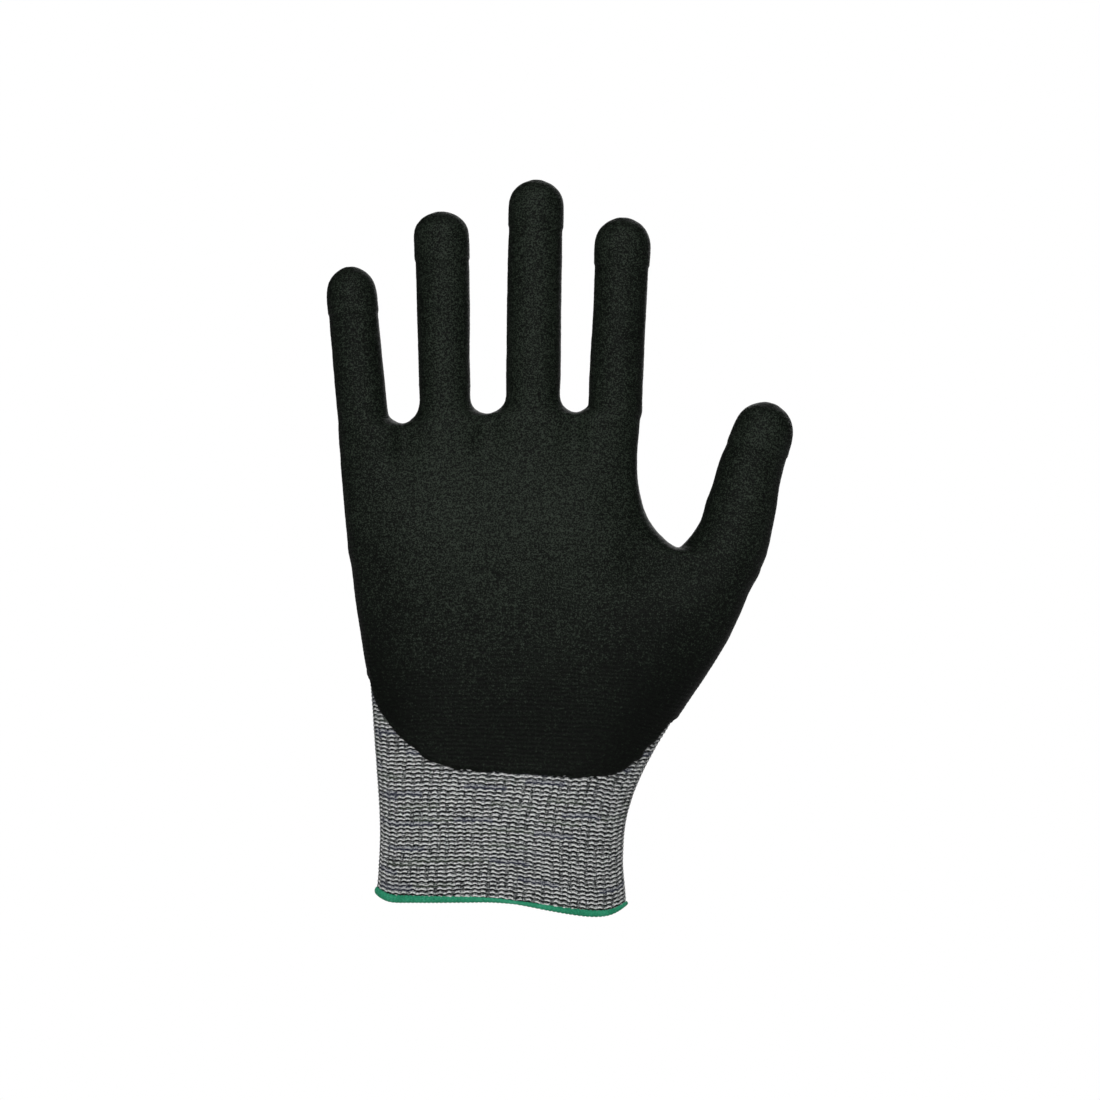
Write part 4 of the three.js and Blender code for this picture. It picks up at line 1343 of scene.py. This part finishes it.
def add_tube(name, cad_name, material, middle, outwards, upwards, across, up, closed):
    """A tube on the cuff. across and up place the points of each ring round its middle."""
    sections = (middle[:, None] + outwards[:, None] * across[..., None]
                + upwards[:, None] * up[..., None])
    tube = add_piece(name, ring_mesh(name, sections, closed), material)
    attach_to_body(tube, "cuff")
    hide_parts(cad_name)


hem_sides = {frozenset(ends) for ends in zip(hem_loop, hem_loop[1:] + hem_loop[:1])}
hem_line = np.concatenate([grid[number][SIDE_LINES[1]][:-1] for number, quad in enumerate(cage_quads)
                           if frozenset((int(quad[1]), int(quad[2]))) in hem_sides])
hem_edge = skin[hem_line] + normals[hem_line] * sway[hem_line][:, None]
hem_places, hem_length = closed_run(hem_edge, HEM_RINGS)
tangent = unit(np.roll(hem_places, -1, 0) - np.roll(hem_places, 1, 0))
outwards = level_normals(tangent)
upwards = np.cross(outwards, tangent)
theta = np.linspace(0, math.tau, HEM_AROUND, endpoint=False)[None, :]
run = (np.arange(HEM_RINGS) / HEM_RINGS * hem_length)[:, None]
threads = round(hem_length / THREAD_PITCH)
turn = run * math.tau / hem_length
wander_run = 0.35 * np.sin(turn * 9) + 0.2 * np.sin(turn * 31 + 1)
phase = run * threads / hem_length + theta / math.tau + 0.25 * wander_run
thread = 1 - np.abs(2 * (phase % 1) - 1) ** 2.4
strand = 1 - np.abs(2 * ((phase * 4 + theta / math.tau * 2) % 1) - 1) ** 2
thickness = np.interp(hem_places[:, 0], HEM_PLACES, HEM_HEIGHTS)[:, None] / 2
reach = (THREAD_HEIGHT * (thread - 0.6) + STRAND_HEIGHT * strand) * np.minimum(1, thickness)
middle = hem_places - outwards * (LINER_THICKNESS / 2) + upwards * HEM_LIFT
add_tube("overlock_thread", "overlock_hem", HEM, middle, outwards, upwards,
         (HEM_HALF_WIDTH + reach) * np.cos(theta), (thickness + reach) * np.sin(theta), closed=True)

# Covered elastic: one yarn that winds up the inside of the cuff, wrapped by a finer thread.
elastic_low, elastic_high = box_of("cuff_elastic")
turns = np.linspace(0, ELASTIC_TURNS, ELASTIC_TURNS * ELASTIC_STEPS)
heights = mix(elastic_low[2] + ELASTIC_RADIUS, elastic_high[2] - ELASTIC_RADIUS, turns / ELASTIC_TURNS)
centre_line = []
for turn, z in zip(turns, heights):
    angle = (turn % 1) * math.tau
    half_wide = (thumb_side(z) - little_side(z)) / 2
    direction = np.array([math.cos(angle), math.sin(angle)])
    u = np.linspace(0, 1, ELASTIC_SEARCH) * np.sign(direction[0] or 1)
    x, y = half_wide * u, half_depth(z) * depth_share(u)
    off = np.abs(x * abs(direction[1]) - y * abs(direction[0]) * np.sign(u + 1e-9))
    best = int(np.argmin(off))
    middle_x = (thumb_side(z) + little_side(z)) / 2
    centre_line.append([middle_x + x[best], y[best] * np.sign(direction[1] or 1), z])
centre_line = np.array(centre_line)
for _ in range(ELASTIC_PASSES):
    centre_line[1:-1] = (centre_line[:-2] + 2 * centre_line[1:-1] + centre_line[2:]) / 4
tangent = unit(np.gradient(centre_line, axis=0))
outwards = level_normals(tangent)
from_centre = centre_line - (elastic_low + elastic_high) / 2
facing = np.sign((from_centre * outwards)[:, :2].sum(1, keepdims=True))
outwards = outwards * facing
core = centre_line - outwards * (LINER_THICKNESS + ELASTIC_GAP + ELASTIC_RADIUS)
theta = np.linspace(0, math.tau, ELASTIC_AROUND, endpoint=False)[None, :]
wrap = WRAP_HEIGHT * np.cos(turns[:, None] * WRAPS_PER_TURN * math.tau + theta)
radius = ELASTIC_RADIUS + wrap
add_tube("elastic_yarn", "cuff_elastic", ELASTIC, core, outwards, np.array([[0, 0, 1.0]]),
         radius * np.cos(theta), radius * np.sin(theta), closed=False)


# ---- Floor, light and camera ----

lowest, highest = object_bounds()
centre = (lowest + highest) / 2

floor_mesh = bpy.data.meshes.new("floor")
half = FLOOR_SIZE / 2
corners = [(-half, -half, 0), (half, -half, 0), (half, half, 0), (-half, half, 0)]
floor_mesh.from_pydata(corners, [], [(0, 1, 2, 3)])
floor = add_object("floor", floor_mesh)
floor.location = (0, 0, lowest.z - FLOOR_GAP)
pale = Material("pale floor", roughness=0.9, specular=0.1)
pale.shader.inputs["Base Color"].default_value = (0.9, 0.9, 0.9, 1)
ray = pale.node("ShaderNodeLightPath").outputs["Is Camera Ray"]
bright = pale.node("ShaderNodeEmission", {"Color": (1, 1, 1, 1)}).outputs[0]
choose = pale.node("ShaderNodeMixShader", {"Fac": ray, 1: pale.shader.outputs[0], 2: bright})
pale.put(choose.outputs[0], pale.tree.nodes["Material Output"].inputs["Surface"])
floor_mesh.materials.append(pale.material)

world = bpy.data.worlds.new("studio")
bpy.context.scene.world = world
world.use_nodes = True
tree = world.node_tree
background = tree.nodes["Background"]
background.inputs["Color"].default_value = (1, 1, 1, 1)
sky_ray = tree.nodes.new("ShaderNodeLightPath")
strength = tree.nodes.new("ShaderNodeMapRange")
strength.inputs["To Min"].default_value = AMBIENT
strength.inputs["To Max"].default_value = 1.0
tree.links.new(sky_ray.outputs["Is Camera Ray"], strength.inputs["Value"])
tree.links.new(strength.outputs["Result"], background.inputs["Strength"])


def area_light(name, place, size, power):
    lamp = bpy.data.lights.new(name, "AREA")
    lamp.shape = "DISK"
    lamp.size = size
    lamp.energy = power
    holder = add_object(name, lamp)
    holder.location = place
    holder.rotation_mode = "QUATERNION"
    holder.rotation_quaternion = (centre - Vector(place)).to_track_quat("-Z", "Y")


area_light("front", (-0.10, -1.45, 0.80), 0.8, 13.0)
area_light("above", (0.1, -0.5, 1.4), 1.0, 2.5)
area_light("back", (0.3, 1.4, 0.6), 1.2, 9.0)

camera_data = bpy.data.cameras.new("camera")
camera_data.sensor_width = 36.0
camera_data.lens = camera_data.sensor_width * CAMERA_DISTANCE / FRAME_WIDTH
camera = add_object("camera", camera_data)
camera.location = AIM + Vector((0, -CAMERA_DISTANCE, 0))
camera.rotation_euler = (math.pi / 2, 0, 0)
bpy.context.scene.camera = camera
bpy.context.scene.view_settings.view_transform = "Standard"
